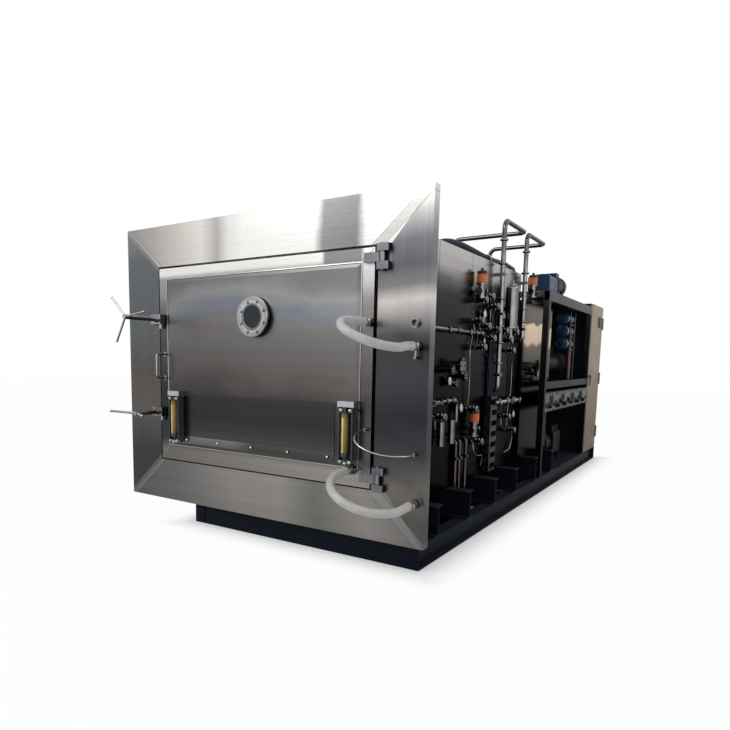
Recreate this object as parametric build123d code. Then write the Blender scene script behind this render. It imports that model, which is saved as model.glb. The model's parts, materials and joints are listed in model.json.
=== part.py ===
"""Skid-mounted production freeze dryer: a rectangular vacuum chamber behind a wide wall panel
with one large hinged door, a condenser behind it, a machine bay and a control cabinet.

Units are millimetres.  +X is the machine's right-hand side, +Y runs from the door to the
cabinet, +Z is up.  The origin is the centre of the skid's footprint, on the floor.
"""
from build123d import *
import math
import os

# ------------------------------------------------------------------ driving sizes
# Skid
SKID_W = 2040.0
SKID_L = 5868.0
SKID_H = 166.0
BEAM_FLANGE = 100.0
CHANNEL_FLANGE = 70.0
BEAM_WALL = 9.0
CROSS_BAYS = 6
ANCHOR_R = 11.0
ANCHOR_INSET = 24.0

# Wall panel
FACADE_W = 2812.0
FACADE_H = 2250.0
FACADE_T = 4.0
FACADE_RETURN = 75.0
FACADE_PAST_SKID = 50.0
FACADE_AHEAD = 60.0

# Door leaf and the opening round it
DOOR_W = 2025.0
DOOR_H = 1562.0
DOOR_T = 110.0
DOOR_FROM_LEFT = 390.0
DOOR_SILL = 348.0
GAP_LEFT = 10.0
GAP_RIGHT = 27.0
GAP_TOP = 16.0
GAP_BOTTOM = 10.0
SKIN_T = 5.0
DOOR_PLATE_T = 16.0
DOOR_EDGE_BAR = 60.0

# Raised panel, covers and gauges on the door
BORDER_SIDE = 90.0
BORDER_TOP = 87.0
BORDER_BOTTOM = 123.0
PANEL_RISE = 12.0
PANEL_BEVEL = 30.0
SHEET_T = 4.0
STRIP_H = 89.0
STRIP_W = 1658.0
COVER_W = 1460.0
COVER_H = 345.0
STRIP_BOLTS = 5
GAUGE_W = 110.0
GAUGE_DEPTH = 62.0
GAUGE_H = 429.0
GAUGE_TUBE_R = 26.0
GAUGE_TUBE_L = 267.0
GAUGE_LEFT_IN = 136.0
GAUGE_RIGHT_IN = 62.0
GAUGE_UP = 25.0
GAUGE_WALL = 8.0

# Sight glass
SIGHT_FROM_LEFT = 1043.0
SIGHT_UP = 1148.0
SIGHT_OD = 290.0
SIGHT_NECK_OD = 224.0
SIGHT_BORE = 164.0
SIGHT_OUT = 46.0
SIGHT_FLANGE_T = 22.0
SIGHT_GLASS_T = 15.0
SIGHT_BOLTS = 8

# Door hinges, handle and clamps
POCKET_W = 93.0
POCKET_H = 165.0
POCKET_GAP = 3.0
HINGE_OUT = 45.0
HINGE_PIN_R = 12.0
HINGE_BORE_CLEAR = 0.05
HINGE_EYE_R = 21.0
HINGE_EYE_H = 60.0
HINGE_EYE_GAP = 2.0
HANDLE_L = 212.0
HANDLE_OUT = 100.0
HANDLE_R = 9.0
HANDLE_UP = 776.0
CLAMP_IN = 30.0
CLAMP_UPPER_UP = 1155.0
CLAMP_LOWER_UP = 399.0
CLAMP_H = 76.0
CLAMP_PLATE_T = 14.0
CLAMP_DEPTH = 62.0
SPINDLE_R = 11.0
SPINDLE_CLEAR = 0.06
TONGUE_L = 74.0
TONGUE_T = 12.0
TONGUE_W = 26.0
SLEEVE_R = 19.0
STAR_REACH = 385.0
STAR_ARM_L = 215.0
STAR_ARM_R = 8.0
LEVER_REACH = 300.0
LEVER_LONG = 320.0
LEVER_SHORT = 70.0
LEVER_R = 10.0

# Vacuum chamber
SEAL_LAP = 80.0
GASKET_T = 14.0
GASKET_W = 22.0
GASKET_IN = 34.0
RING_W = 90.0
RING_T = 30.0
CHAMBER_L = 2300.0
CHAMBER_WALL = 16.0
RIB_T = 14.0
RIB_H = 140.0
RIBS = 5
CLAD_MARGIN = 125.0
CLAD_T = 3.0
CLAD_L = 2630.0
PORT_SIZE = 700.0
PORT_WALL = 12.0
BOLSTERS = 4
BOLSTER_W = 120.0

# Shelves
SHELVES = 5
SHELF_T = 24.0
SHELF_SIDE_GAP = 110.0
SHELF_L = 2080.0
SHELF_FRONT_GAP = 90.0
RACK_POST = 50.0
HEADER_R = 30.0

# Condenser
COND_W = 1750.0
COND_PAST_CHAMBER = 33.0
COND_L = 1070.0
COND_GAP = 56.0
COND_TOP = 1965.0
COND_BOTTOM = 400.0
COND_INSULATION = 60.0
COIL_BANKS = 4
COIL_TURNS = 9
COIL_R = 13.0
PORT_UP = 220.0
VALVE_LAP = 40.0
VALVE_T = 25.0
VALVE_TRAVEL = 250.0
VALVE_ROD_R = 20.0
VALVE_ROD_CLEAR = 0.06
CYLINDER_R = 70.0

# Machine bay
BAY_L = 2190.0
BAY_POST = 60.0
BAY_WALL = 5.0
BAY_TOP = 2090.0
BAY_TOP_RAIL = 100.0
BAY_MID = 1165.0
BAY_MID_RAIL = 75.0
TRAY_H = 195.0
TRAY_DEPTH = 56.0
TRAY_T = 3.0
TRAY_SLOTS = 18
UPRIGHT_W = 170.0
UPRIGHT_H = 665.0
COMPRESSOR_L = 620.0
COMPRESSOR_R = 150.0
RECEIVER_R = 130.0
RECEIVER_L = 1500.0
TANK_H = 520.0
TANK_WALL = 6.0
MOTOR_R = 115.0
MOTOR_L = 380.0
BOOSTER_L = 380.0
BOOSTER_FROM_FRONT = 3304.0

# Control cabinet
CABINET_L = 768.0
CABINET_W = 1200.0
CABINET_H = 1974.0
CABINET_T = 3.0
CABINET_DOOR_T = 19.0
CABINET_DOOR_GAP = 3.0
CABINET_HINGE_R = 8.0

# Hoses and pipes
HOSE_UPPER_D = 54.0
HOSE_LOWER_D = 56.0
CAPILLARY_D = 11.0
FITTING_OUT = 62.0
CAPILLARY_OUT = 34.0
SIDE_STANDOFF = 58.0
RISER_R = 21.0
SIDE_PIPE_R = 14.0
DRAIN_R = 13.0
FILTER_R = 55.0
FILTER_H = 330.0
ACTUATOR_R = 40.0
ACTUATOR_H = 98.0
COOLING_PIPE_R = 30.15
COOLING_PIPE_L = 80.0
WALL_PORT_R = 20.0
WALL_PORT_OUT = 30.0

# ------------------------------------------------------------------ places worked out from them
FRONT = -SKID_L / 2 - FACADE_AHEAD
RIGHT = SKID_W / 2 + FACADE_PAST_SKID
LEFT = RIGHT - FACADE_W
BOTTOM = SKID_H
TOP = BOTTOM + FACADE_H

DX0 = LEFT + DOOR_FROM_LEFT
DX1 = DX0 + DOOR_W
DZ0 = BOTTOM + DOOR_SILL
DZ1 = DZ0 + DOOR_H
OX0 = DX0 - GAP_LEFT
OX1 = DX1 + GAP_RIGHT
OZ0 = DZ0 - GAP_BOTTOM
OZ1 = DZ1 + GAP_TOP
POCKET_X = OX1 + POCKET_W

PX0 = DX0 + BORDER_SIDE
PX1 = DX1 - BORDER_SIDE
PZ0 = DZ0 + BORDER_BOTTOM
PZ1 = DZ1 - BORDER_TOP
PANEL_Y = FRONT - PANEL_RISE

RING_Y = FRONT + DOOR_T + GASKET_T
VX0 = DX0 + SEAL_LAP
VX1 = DX1 - SEAL_LAP
VZ0 = DZ0 + SEAL_LAP
VZ1 = DZ1 - SEAL_LAP
VY1 = RING_Y + CHAMBER_L

CX0 = OX0 - CLAD_MARGIN
CX1 = OX1 + CLAD_MARGIN
CZ0 = OZ0 - CLAD_MARGIN
CZ1 = OZ1 + CLAD_MARGIN
CY0 = FRONT + FACADE_T
CY1 = CY0 + CLAD_L
MID_X = (VX0 + VX1) / 2
PORT_Z = (COND_TOP + COND_BOTTOM) / 2 + PORT_UP

KX1 = CX1 + COND_PAST_CHAMBER
KX0 = KX1 - COND_W
KY0 = CY1 + COND_GAP
KY1 = KY0 + COND_L
PORT_X = (KX0 + KX1) / 2

CAB_Y1 = SKID_L / 2
CAB_Y0 = CAB_Y1 - CABINET_L
CAB_X1 = SKID_W / 2
CAB_X0 = CAB_X1 - CABINET_W
CAB_Z1 = SKID_H + CABINET_H
FLOOR_Z = SKID_H + 6
BAY_Y1 = CAB_Y0
BAY_Y0 = BAY_Y1 - BAY_L
BAY_X = SKID_W / 2

HINGE_X = (OX1 + POCKET_X) / 2 - 8
HINGE_Y = FRONT - HINGE_OUT / 2
HINGE_LOW_Z = OZ0 + POCKET_H / 2
HINGE_HIGH_Z = OZ1 - POCKET_H / 2

SIGHT_X = DX0 + SIGHT_FROM_LEFT
SIGHT_Z = DZ0 + SIGHT_UP
CLAMP_X = DX0 + CLAMP_IN
SIDE_X = CX1 + SIDE_STANDOFF


# ------------------------------------------------------------------ small helpers
def block(x, y, z):
    """A box between two x, two y and two z values."""
    size = Box(abs(x[1] - x[0]), abs(y[1] - y[0]), abs(z[1] - z[0]))
    return Pos((x[0] + x[1]) / 2, (y[0] + y[1]) / 2, (z[0] + z[1]) / 2) * size


TURN = {"x": Rot(0, 90, 0), "y": Rot(-90, 0, 0), "z": Rot(0, 0, 0)}


def rod(axis, start, length, radius, bore=0.0):
    """A round bar from start along +axis, or a tube when it has a bore radius."""
    bar = Cylinder(radius, length, align=(Align.CENTER, Align.CENTER, Align.MIN))
    if bore:
        bar -= Cylinder(bore, length, align=(Align.CENTER, Align.CENTER, Align.MIN))
    return Pos(*start) * TURN[axis] * bar


def hex_bar(axis, start, length, radius):
    """A hexagonal bolt head from start along +axis."""
    return Pos(*start) * TURN[axis] * extrude(RegularPolygon(radius, 6), amount=length)


def plate_facing_front(points, y, thickness):
    """A flat plate whose front outline, given in x and z, lies at y."""
    outline = Polyline(*[(x, y, z) for x, z in points], close=True)
    return extrude(make_face(outline), amount=thickness, dir=(0, 1, 0))


def bent_tube(points, radius, bore, bend):
    """A bar or tube in one piece along straight runs joined by arcs of one bend radius."""
    path = FilletPolyline(*points, radius=bend)
    start = Plane(origin=path @ 0, z_dir=path % 0)
    ring = start * Circle(radius)
    if bore:
        ring -= start * Circle(bore)
    return sweep(ring, path=path)


def pipe_run(points, radius, bore, bends):
    """A pipe as straight tubes and elbows, one solid for each."""
    path = FilletPolyline(*points, radius=bends)
    solids = []
    for edge in path.edges():
        start = Plane(origin=edge @ 0, z_dir=edge % 0)
        solids.append(sweep(start * Circle(radius) - start * Circle(bore), path=edge))
    return solids


def hose(points, diameter):
    """A free hose: runs joined by the largest arcs that fit, and its radii in diameters."""
    spots = [Vector(*p) for p in points]
    radii = []
    for before, corner, after in zip(spots, spots[1:], spots[2:]):
        into, out = corner - before, after - corner
        half_turn = math.radians(into.get_angle(out)) / 2
        radii.append(0.45 * min(into.length, out.length) / math.tan(half_turn))
    path = FilletPolyline(*points, radius=radii)
    section = Plane(origin=path @ 0, z_dir=path % 0) * Circle(diameter / 2)
    solid = sweep(section, path=path)
    true_volume = math.pi * diameter ** 2 / 4 * path.length
    print("hose length", round(path.length), "least bend", round(min(radii) / diameter, 1),
          "diameters, volume share", round(solid.volume / true_volume, 4))
    return solid


def pipe_clip(x, y, z, axis, radius, width=24.0, wall=CX1):
    """A block that holds a pipe off a side wall."""
    half = radius + 6
    if axis == "z":
        body = block((wall, x + half), (y - half, y + half), (z - width / 2, z + width / 2))
        return body - rod("z", (x, y, z - width), 2 * width, radius)
    body = block((wall, x + half), (y - width / 2, y + width / 2), (z - half, z + half))
    return body - rod("y", (x, y - width, z), 2 * width, radius)


# ------------------------------------------------------------------ skid and wall panel
def i_beam(length, height, width, wall):
    """An I-section along Y with its bottom on z = 0 and its middle on x = 0."""
    web = block((-wall / 2, wall / 2), (-length / 2, length / 2), (wall, height - wall))
    low = block((-width / 2, width / 2), (-length / 2, length / 2), (0, wall))
    high = block((-width / 2, width / 2), (-length / 2, length / 2), (height - wall, height))
    return web + low + high


def channel(length, height, width, wall):
    """A channel along X, web at y = 0, flanges towards +Y, bottom on z = 0."""
    web = block((-length / 2, length / 2), (0, wall), (0, height))
    low = block((-length / 2, length / 2), (wall, width), (0, wall))
    high = block((-length / 2, length / 2), (wall, width), (height - wall, height))
    return web + low + high


def skid_frame():
    side_x = SKID_W / 2 - BEAM_FLANGE / 2
    anchor_x = SKID_W / 2 - ANCHOR_INSET
    anchor_y = SKID_L / 2 - 3 * ANCHOR_INSET
    solids = []
    for side in (-1, 1):
        beam = Pos(side * side_x, 0, 0) * i_beam(SKID_L, SKID_H, BEAM_FLANGE, BEAM_WALL)
        for end in (-1, 1):
            beam -= rod("z", (side * anchor_x, end * anchor_y, -1), BEAM_WALL + 2, ANCHOR_R)
        solids.append(beam)
    inner_l = SKID_W - 2 * BEAM_FLANGE
    pitch = (SKID_L - CHANNEL_FLANGE) / CROSS_BAYS
    for i in range(CROSS_BAYS + 1):
        cross = channel(inner_l, SKID_H, CHANNEL_FLANGE, BEAM_WALL)
        y = -SKID_L / 2 + i * pitch
        if i > CROSS_BAYS / 2:
            cross = mirror(cross, Plane.XZ)
            y += CHANNEL_FLANGE
        solids.append(Pos(0, y, 0) * cross)
    floor_x, floor_y = SKID_W / 2 - 70, (KY1 + 40, CAB_Y0 - 6)
    solids.append(block((-floor_x, floor_x), floor_y, (SKID_H, FLOOR_Z)))
    return solids


def bolsters():
    """Transverse I-beams that carry the chamber across the skid and past its left side."""
    height = CZ0 - SKID_H
    solids = []
    for i in range(BOLSTERS):
        y = CY0 + CLAD_L * (i + 0.6) / (BOLSTERS + 0.4)
        x0, x1 = CX0 + CHANNEL_FLANGE, SKID_W / 2
        beam = i_beam(x1 - x0, height, BOLSTER_W, BEAM_WALL)
        solids.append(Pos((x0 + x1) / 2, y, SKID_H) * Rot(0, 0, 90) * beam)
    for y in (KY0 + COND_L * 0.12, KY0 + COND_L * 0.72):
        beam = i_beam(SKID_W, COND_BOTTOM - SKID_H, BOLSTER_W, BEAM_WALL)
        solids.append(Pos(0, y, SKID_H) * Rot(0, 0, 90) * beam)
    return solids


JAMB_Y = (FRONT + FACADE_T, RING_Y)


def facade_top():
    """Each panel is a sloping-sided plate, an edge flange and a jamb back to the chamber."""
    outline = [(OX0, OZ1), (POCKET_X, OZ1), (RIGHT, TOP), (LEFT, TOP)]
    lip = block((LEFT, RIGHT), (FRONT + FACADE_T, FRONT + FACADE_RETURN), (TOP - FACADE_T, TOP))
    jamb = block((OX0 - SHEET_T, POCKET_X), JAMB_Y, (OZ1, OZ1 + SHEET_T))
    return [plate_facing_front(outline, FRONT, FACADE_T), lip, jamb]


def facade_bottom():
    outline = [(LEFT, BOTTOM), (RIGHT, BOTTOM), (POCKET_X, OZ0), (OX0, OZ0)]
    lip_z = (BOTTOM, BOTTOM + FACADE_T)
    lip = block((LEFT, RIGHT), (FRONT + FACADE_T, FRONT + FACADE_RETURN), lip_z)
    jamb = block((OX0 - SHEET_T, POCKET_X), JAMB_Y, (OZ0 - SHEET_T, OZ0))
    return [plate_facing_front(outline, FRONT, FACADE_T), lip, jamb]


def facade_left():
    outline = [(LEFT, BOTTOM), (OX0, OZ0), (OX0, OZ1), (LEFT, TOP)]
    lip_z = (BOTTOM + FACADE_T, TOP - FACADE_T)
    lip = block((LEFT, LEFT + FACADE_T), (FRONT + FACADE_T, FRONT + FACADE_RETURN), lip_z)
    jamb = block((OX0 - SHEET_T, OX0), JAMB_Y, (OZ0, OZ1))
    return [plate_facing_front(outline, FRONT, FACADE_T), lip, jamb]


def facade_right():
    low, high = OZ0 + POCKET_H, OZ1 - POCKET_H
    frame = [(POCKET_X, OZ0), (RIGHT, BOTTOM), (RIGHT, TOP), (POCKET_X, OZ1)]
    infill = [(OX1, low), (POCKET_X, low), (POCKET_X, high), (OX1, high)]
    lip_z = (BOTTOM + FACADE_T, TOP - FACADE_T)
    lip = block((RIGHT - FACADE_T, RIGHT), (FRONT + FACADE_T, FRONT + FACADE_RETURN), lip_z)
    jamb = block((OX1, OX1 + SHEET_T), JAMB_Y, (low, high))
    plates = [plate_facing_front(outline, FRONT, FACADE_T) for outline in (frame, infill)]
    return plates + [lip, jamb]


# ------------------------------------------------------------------ chamber
def square_ring(outer, inner, y):
    """Four flat bars round an opening; outer and inner are (x0, x1, z0, z1)."""
    ox0, ox1, oz0, oz1 = outer
    ix0, ix1, iz0, iz1 = inner
    return [
        block((ox0, ox1), y, (iz1, oz1)),
        block((ox0, ox1), y, (oz0, iz0)),
        block((ox0, ix0), y, (iz0, iz1)),
        block((ix1, ox1), y, (iz0, iz1)),
    ]


def port_box(margin):
    half = PORT_SIZE / 2 + margin
    return (PORT_X - half, PORT_X + half, PORT_Z - half, PORT_Z + half)


def chamber_vessel():
    inner = (VX0, VX1, VZ0, VZ1)
    outer = (VX0 - CHAMBER_WALL, VX1 + CHAMBER_WALL, VZ0 - CHAMBER_WALL, VZ1 + CHAMBER_WALL)
    ring = (OX0 - RING_W, OX1 + RING_W, OZ0 - RING_W, OZ1 + RING_W)
    solids = square_ring(ring, inner, (RING_Y, RING_Y + RING_T))
    solids += square_ring(outer, inner, (RING_Y + RING_T, VY1))
    solids += square_ring(outer, port_box(0), (VY1, VY1 + CHAMBER_WALL))
    return solids


def chamber_ribs():
    """Hoops round the chamber; their lower bars reach the cladding floor and carry the load."""
    wx0, wx1 = VX0 - CHAMBER_WALL, VX1 + CHAMBER_WALL
    wz0, wz1 = VZ0 - CHAMBER_WALL, VZ1 + CHAMBER_WALL
    first = RING_Y + RING_T + RIB_H
    pitch = (VY1 - RIB_H / 2 - first) / (RIBS - 1)
    solids = []
    for i in range(RIBS):
        y = (first + i * pitch, first + i * pitch + RIB_T)
        outer = (wx0 - RIB_H, wx1 + RIB_H, CZ0 + CLAD_T, wz1 + RIB_H)
        solids += square_ring(outer, (wx0, wx1, wz0, wz1), y)
    return solids


def chamber_cladding():
    y = (CY0, CY1 - CLAD_T)
    hole = port_box(PORT_WALL)
    return [
        block((CX0, CX1), y, (CZ1 - CLAD_T, CZ1)),
        block((CX0, CX1), y, (CZ0, CZ0 + CLAD_T)),
        block((CX0, CX0 + CLAD_T), y, (CZ0 + CLAD_T, CZ1 - CLAD_T)),
        block((CX1 - CLAD_T, CX1), y, (CZ0 + CLAD_T, CZ1 - CLAD_T)),
    ] + square_ring((CX0, CX1, CZ0, CZ1), hole, (CY1 - CLAD_T, CY1))


def door_gasket():
    inner = (DX0 + GASKET_IN, DX1 - GASKET_IN, DZ0 + GASKET_IN, DZ1 - GASKET_IN)
    core = (inner[0] + GASKET_W, inner[1] - GASKET_W, inner[2] + GASKET_W, inner[3] - GASKET_W)
    y_mid = RING_Y - (GASKET_T - 1) / 2
    outer_face = block(inner[:2], (y_mid - (GASKET_T - 1) / 2, RING_Y), inner[2:])
    return [outer_face - block(core[:2], (FRONT, RING_Y + 1), core[2:])]


def shelf_levels():
    """Heights of the shelves' undersides, evenly spread in the chamber."""
    pitch = (VZ1 - VZ0 - 2 * SHELF_SIDE_GAP) / (SHELVES - 0.5)
    return [VZ0 + SHELF_SIDE_GAP + i * pitch for i in range(SHELVES)]


SHELF_Y = (RING_Y + SHELF_FRONT_GAP, RING_Y + SHELF_FRONT_GAP + SHELF_L)
SHELF_X = (VX0 + SHELF_SIDE_GAP, VX1 - SHELF_SIDE_GAP)


def shelf(i):
    """A hollow heated shelf: two skins, an edge frame and ribs for the fluid channels."""
    z0 = shelf_levels()[i]
    z = (z0, z0 + SHELF_T)
    slab = block(SHELF_X, SHELF_Y, z)
    skin, ribs = 4.0, 8
    inner_w = SHELF_X[1] - SHELF_X[0] - 2 * skin
    cell = (inner_w - (ribs - 1) * skin) / ribs
    for k in range(ribs):
        x0 = SHELF_X[0] + skin + k * (cell + skin)
        slab -= block((x0, x0 + cell), (SHELF_Y[0] + skin, SHELF_Y[1] - skin),
                      (z0 + skin, z0 + SHELF_T - skin))
    return [slab]


def shelf_rack():
    """Posts with ledges under each shelf, and the two fluid headers."""
    solids = []
    levels = shelf_levels()
    ledge_t = 10.0
    for side, x0 in ((1, SHELF_X[0] - RACK_POST), (-1, SHELF_X[1])):
        for y0 in (SHELF_Y[0] + 100, SHELF_Y[1] - 100 - RACK_POST):
            y = (y0, y0 + RACK_POST)
            solids.append(block((x0, x0 + RACK_POST), y, (VZ0, VZ1)))
            for z in levels:
                ledge_x = (x0 + RACK_POST, x0 + 2 * RACK_POST) if side > 0 else (x0 - RACK_POST, x0)
                solids.append(block(ledge_x, y, (z - ledge_t, z)))
    header_l = levels[-1] - levels[0] + SHELF_T
    for y in (SHELF_Y[1] - 330, SHELF_Y[1] - 430):
        start = (SHELF_X[1] + RACK_POST / 2 + HEADER_R / 2, y, levels[0])
        solids.append(rod("z", start, header_l, HEADER_R, HEADER_R - 3))
        for z in levels:
            hook = rod("x", (SHELF_X[1], y, z + SHELF_T / 2), start[0] - HEADER_R - SHELF_X[1], 7)
            solids.append(hook)
    return solids


# ------------------------------------------------------------------ condenser and its valve
WX0, WX1 = KX0 + COND_INSULATION, KX1 - COND_INSULATION
WY0, WY1 = KY0 + COND_INSULATION, KY1 - COND_INSULATION
WZ0, WZ1 = COND_BOTTOM + COND_INSULATION, COND_TOP - COND_INSULATION


def condenser_vessel():
    wall = CHAMBER_WALL
    outer = (WX0, WX1, WZ0, WZ1)
    inner = (WX0 + wall, WX1 - wall, WZ0 + wall, WZ1 - wall)
    rod_hole = rod("y", (PORT_X, WY1 - wall - 1, PORT_Z), wall + 2, VALVE_ROD_R + VALVE_ROD_CLEAR)
    feet = [block((x, x + 60), (WY0 + 40, WY1 - 40), (COND_BOTTOM + CLAD_T, WZ0))
            for x in (WX0 + 120, WX1 - 180)]
    solids = square_ring(outer, port_box(0), (WY0, WY0 + wall))
    solids += square_ring(outer, inner, (WY0 + wall, WY1 - wall))
    solids.append(block((WX0, WX1), (WY1 - wall, WY1), (WZ0, WZ1)) - rod_hole)
    return solids + feet


def condenser_cladding():
    y = (KY0 + CLAD_T, KY1 - CLAD_T)
    rod_hole = CYLINDER_R + 10
    back = block((KX0, KX1), (KY1 - CLAD_T, KY1), (COND_BOTTOM, COND_TOP))
    back -= rod("y", (PORT_X, KY1 - 2 * CLAD_T, PORT_Z), 3 * CLAD_T, rod_hole)
    front = square_ring((KX0, KX1, COND_BOTTOM, COND_TOP), port_box(PORT_WALL),
                        (KY0, KY0 + CLAD_T))
    z_in = (COND_BOTTOM + CLAD_T, COND_TOP - CLAD_T)
    return front + [
        back,
        block((KX0, KX1), y, (COND_TOP - CLAD_T, COND_TOP)),
        block((KX0, KX1), y, (COND_BOTTOM, COND_BOTTOM + CLAD_T)),
        block((KX0, KX0 + CLAD_T), y, z_in),
        block((KX1 - CLAD_T, KX1), y, z_in),
    ]


def condenser_coil():
    """Upright serpentine banks with hangers, on both sides of the valve plate's path."""
    wall = CHAMBER_WALL
    y0, y1 = WY0 + wall + 70, WY1 - wall - 70
    z0, z1 = WZ0 + wall + 90, WZ1 - wall - 90
    pitch = (z1 - z0) / COIL_TURNS
    bend = pitch / 2 - 0.5
    half = PORT_SIZE / 2 + VALVE_LAP + 60
    per_side = COIL_BANKS // 2
    solids = []
    for side, edge in ((-1, WX0 + wall), (1, WX1 - wall)):
        span = PORT_X + side * half
        for k in range(per_side):
            x = span + (edge - span) * (k + 0.5) / per_side
            points = []
            for i in range(COIL_TURNS + 1):
                ends = (y0, y1) if i % 2 == 0 else (y1, y0)
                points += [(x, ends[0], z0 + i * pitch), (x, ends[1], z0 + i * pitch)]
            solids.append(bent_tube(points, COIL_R, COIL_R - 1.5, bend))
    for y in (y0 + 120, y1 - 140):
        for side, edge in ((-1, WX0 + wall), (1, WX1 - wall)):
            near = PORT_X + side * half
            z = z0 - COIL_R
            solids.append(block((edge, near), (y, y + 20), (z - 12, z)))
            solids.append(block((near, near - side * 12), (y, y + 20), (WZ0 + wall, z)))
    return solids


def isolation_valve():
    """The duct from the chamber to the condenser, and the valve's air cylinder behind it."""
    solids = square_ring(port_box(PORT_WALL), port_box(0), (VY1 + CHAMBER_WALL, WY0))
    start = (PORT_X, WY1, PORT_Z)
    length = COND_INSULATION + VALVE_TRAVEL + 190
    tube = rod("y", start, length, CYLINDER_R, CYLINDER_R - 8)
    cap = rod("y", (PORT_X, WY1 + length, PORT_Z), 20, CYLINDER_R + 8)
    return solids + [tube, cap]


def valve_plate():
    """The sliding isolation plate, 1 mm off its seat, with its rod and piston."""
    y0 = WY0 + CHAMBER_WALL + 1
    half = PORT_SIZE / 2 + VALVE_LAP
    plate = block((PORT_X - half, PORT_X + half), (y0, y0 + VALVE_T),
                  (PORT_Z - half, PORT_Z + half))
    piston_y = WY1 + 30
    stem = rod("y", (PORT_X, y0 + VALVE_T, PORT_Z), piston_y - y0 - VALVE_T, VALVE_ROD_R)
    piston = rod("y", (PORT_X, piston_y, PORT_Z), 40, CYLINDER_R - 8.5)
    return [plate + stem + piston]


# ------------------------------------------------------------------ door
def sight_hole(y, length, radius):
    return rod("y", (SIGHT_X, y, SIGHT_Z), length, radius)


def door_leaf():
    """Skin, edge bars, cross bars and back plate, with a tube through them for the sight glass."""
    inner_x = (DX0 + DOOR_EDGE_BAR, DX1 - DOOR_EDGE_BAR)
    inner_z = (DZ0 + DOOR_EDGE_BAR, DZ1 - DOOR_EDGE_BAR)
    core_y = (FRONT + SKIN_T, FRONT + DOOR_T - DOOR_PLATE_T)
    tube_r = SIGHT_BORE / 2 + 8
    skin = block((DX0, DX1), (FRONT, FRONT + SKIN_T), (DZ0, DZ1))
    skin -= sight_hole(FRONT - 1, SKIN_T + 2, tube_r)
    back = block((DX0, DX1), (FRONT + DOOR_T - DOOR_PLATE_T, FRONT + DOOR_T), (DZ0, DZ1))
    back -= sight_hole(FRONT + DOOR_T - DOOR_PLATE_T - 1, DOOR_PLATE_T + 2, tube_r)
    bars = square_ring((DX0, DX1, DZ0, DZ1), inner_x + inner_z, core_y)
    shares = (0.28, 0.56)
    cross = [block(inner_x, core_y, (z - 20, z + 20))
             for z in [DZ0 + DOOR_H * s for s in shares]]
    tube = rod("y", (SIGHT_X, FRONT, SIGHT_Z), DOOR_T, tube_r, SIGHT_BORE / 2)
    return [skin, back, tube] + bars + cross


def door_panel():
    low = Plane(origin=(0, FRONT, 0), x_dir=(1, 0, 0), z_dir=(0, -1, 0))
    high = Plane(origin=(0, PANEL_Y, 0), x_dir=(1, 0, 0), z_dir=(0, -1, 0))
    mid = Pos((PX0 + PX1) / 2, (PZ0 + PZ1) / 2)
    wide = low * mid * Rectangle(PX1 - PX0, PZ1 - PZ0)
    narrow = high * mid * Rectangle(PX1 - PX0 - 2 * PANEL_BEVEL, PZ1 - PZ0 - 2 * PANEL_BEVEL)
    raised = loft([wide, narrow], ruled=True)
    return [raised - sight_hole(PANEL_Y - 1, PANEL_RISE + 2, SIGHT_BORE / 2 + 8)]


STRIP_X = (PX0 + PANEL_BEVEL, PX0 + PANEL_BEVEL + STRIP_W - PANEL_BEVEL)
STRIP_Z = (PZ0 + PANEL_BEVEL, PZ0 + STRIP_H)
SHEET_Y = (PANEL_Y - SHEET_T, PANEL_Y)


def bottom_strip():
    """A bolted strip across the foot of the raised panel."""
    solids = [block(STRIP_X, SHEET_Y, STRIP_Z)]
    first = STRIP_X[0] + 195
    last = STRIP_X[1] - 52
    for i in range(STRIP_BOLTS):
        x = first + (last - first) * i / (STRIP_BOLTS - 1)
        z = (STRIP_Z[0] + STRIP_Z[1]) / 2
        washer = rod("y", (x, SHEET_Y[0] - 3, z), 3, 13)
        head = Pos(x, SHEET_Y[0] - 3, z) * Sphere(11)
        head &= block((x - 12, x + 12), (SHEET_Y[0] - 15, SHEET_Y[0] - 3), (z - 12, z + 12))
        solids.append(washer + head)
    return solids


def lower_cover():
    x1 = STRIP_X[1]
    return [block((x1 - COVER_W, x1), SHEET_Y, (STRIP_Z[1], STRIP_Z[1] + COVER_H))]


def sight_flange():
    """Welded neck, bolted clamp flange and its hexagon bolts."""
    neck_l = SIGHT_OUT - SIGHT_FLANGE_T
    flange_y = PANEL_Y - SIGHT_OUT
    neck = rod("y", (SIGHT_X, PANEL_Y - neck_l, SIGHT_Z), neck_l, SIGHT_NECK_OD / 2, SIGHT_BORE / 2)
    flange = rod("y", (SIGHT_X, flange_y, SIGHT_Z), SIGHT_FLANGE_T, SIGHT_OD / 2, SIGHT_BORE / 2)
    front_edges = flange.edges().group_by(Axis.Y)[0]
    flange = chamfer(front_edges, 3)
    solids = [neck, flange]
    circle_r = (SIGHT_OD / 2 + SIGHT_BORE / 2) / 2 + 2
    for i in range(SIGHT_BOLTS):
        angle = 2 * math.pi * (i + 0.5) / SIGHT_BOLTS
        x = SIGHT_X + circle_r * math.cos(angle)
        z = SIGHT_Z + circle_r * math.sin(angle)
        solids.append(hex_bar("y", (x, flange_y - 11, z), 11, 14))
    return solids


def sight_glass():
    y = PANEL_Y - SIGHT_OUT + 6
    return [rod("y", (SIGHT_X, y, SIGHT_Z), SIGHT_GLASS_T, SIGHT_BORE / 2)]


GAUGE_X = (PX0 + GAUGE_LEFT_IN, PX1 - GAUGE_RIGHT_IN)
GAUGE_Z = PZ0 + GAUGE_UP
GAUGE_BACK = SHEET_Y[0]
CAP_LAP = 8.0
CAP_H = 38.0
TUBE_SHIFT = 18.0
GAUGE_TUBE_Z = GAUGE_Z + 84


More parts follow.
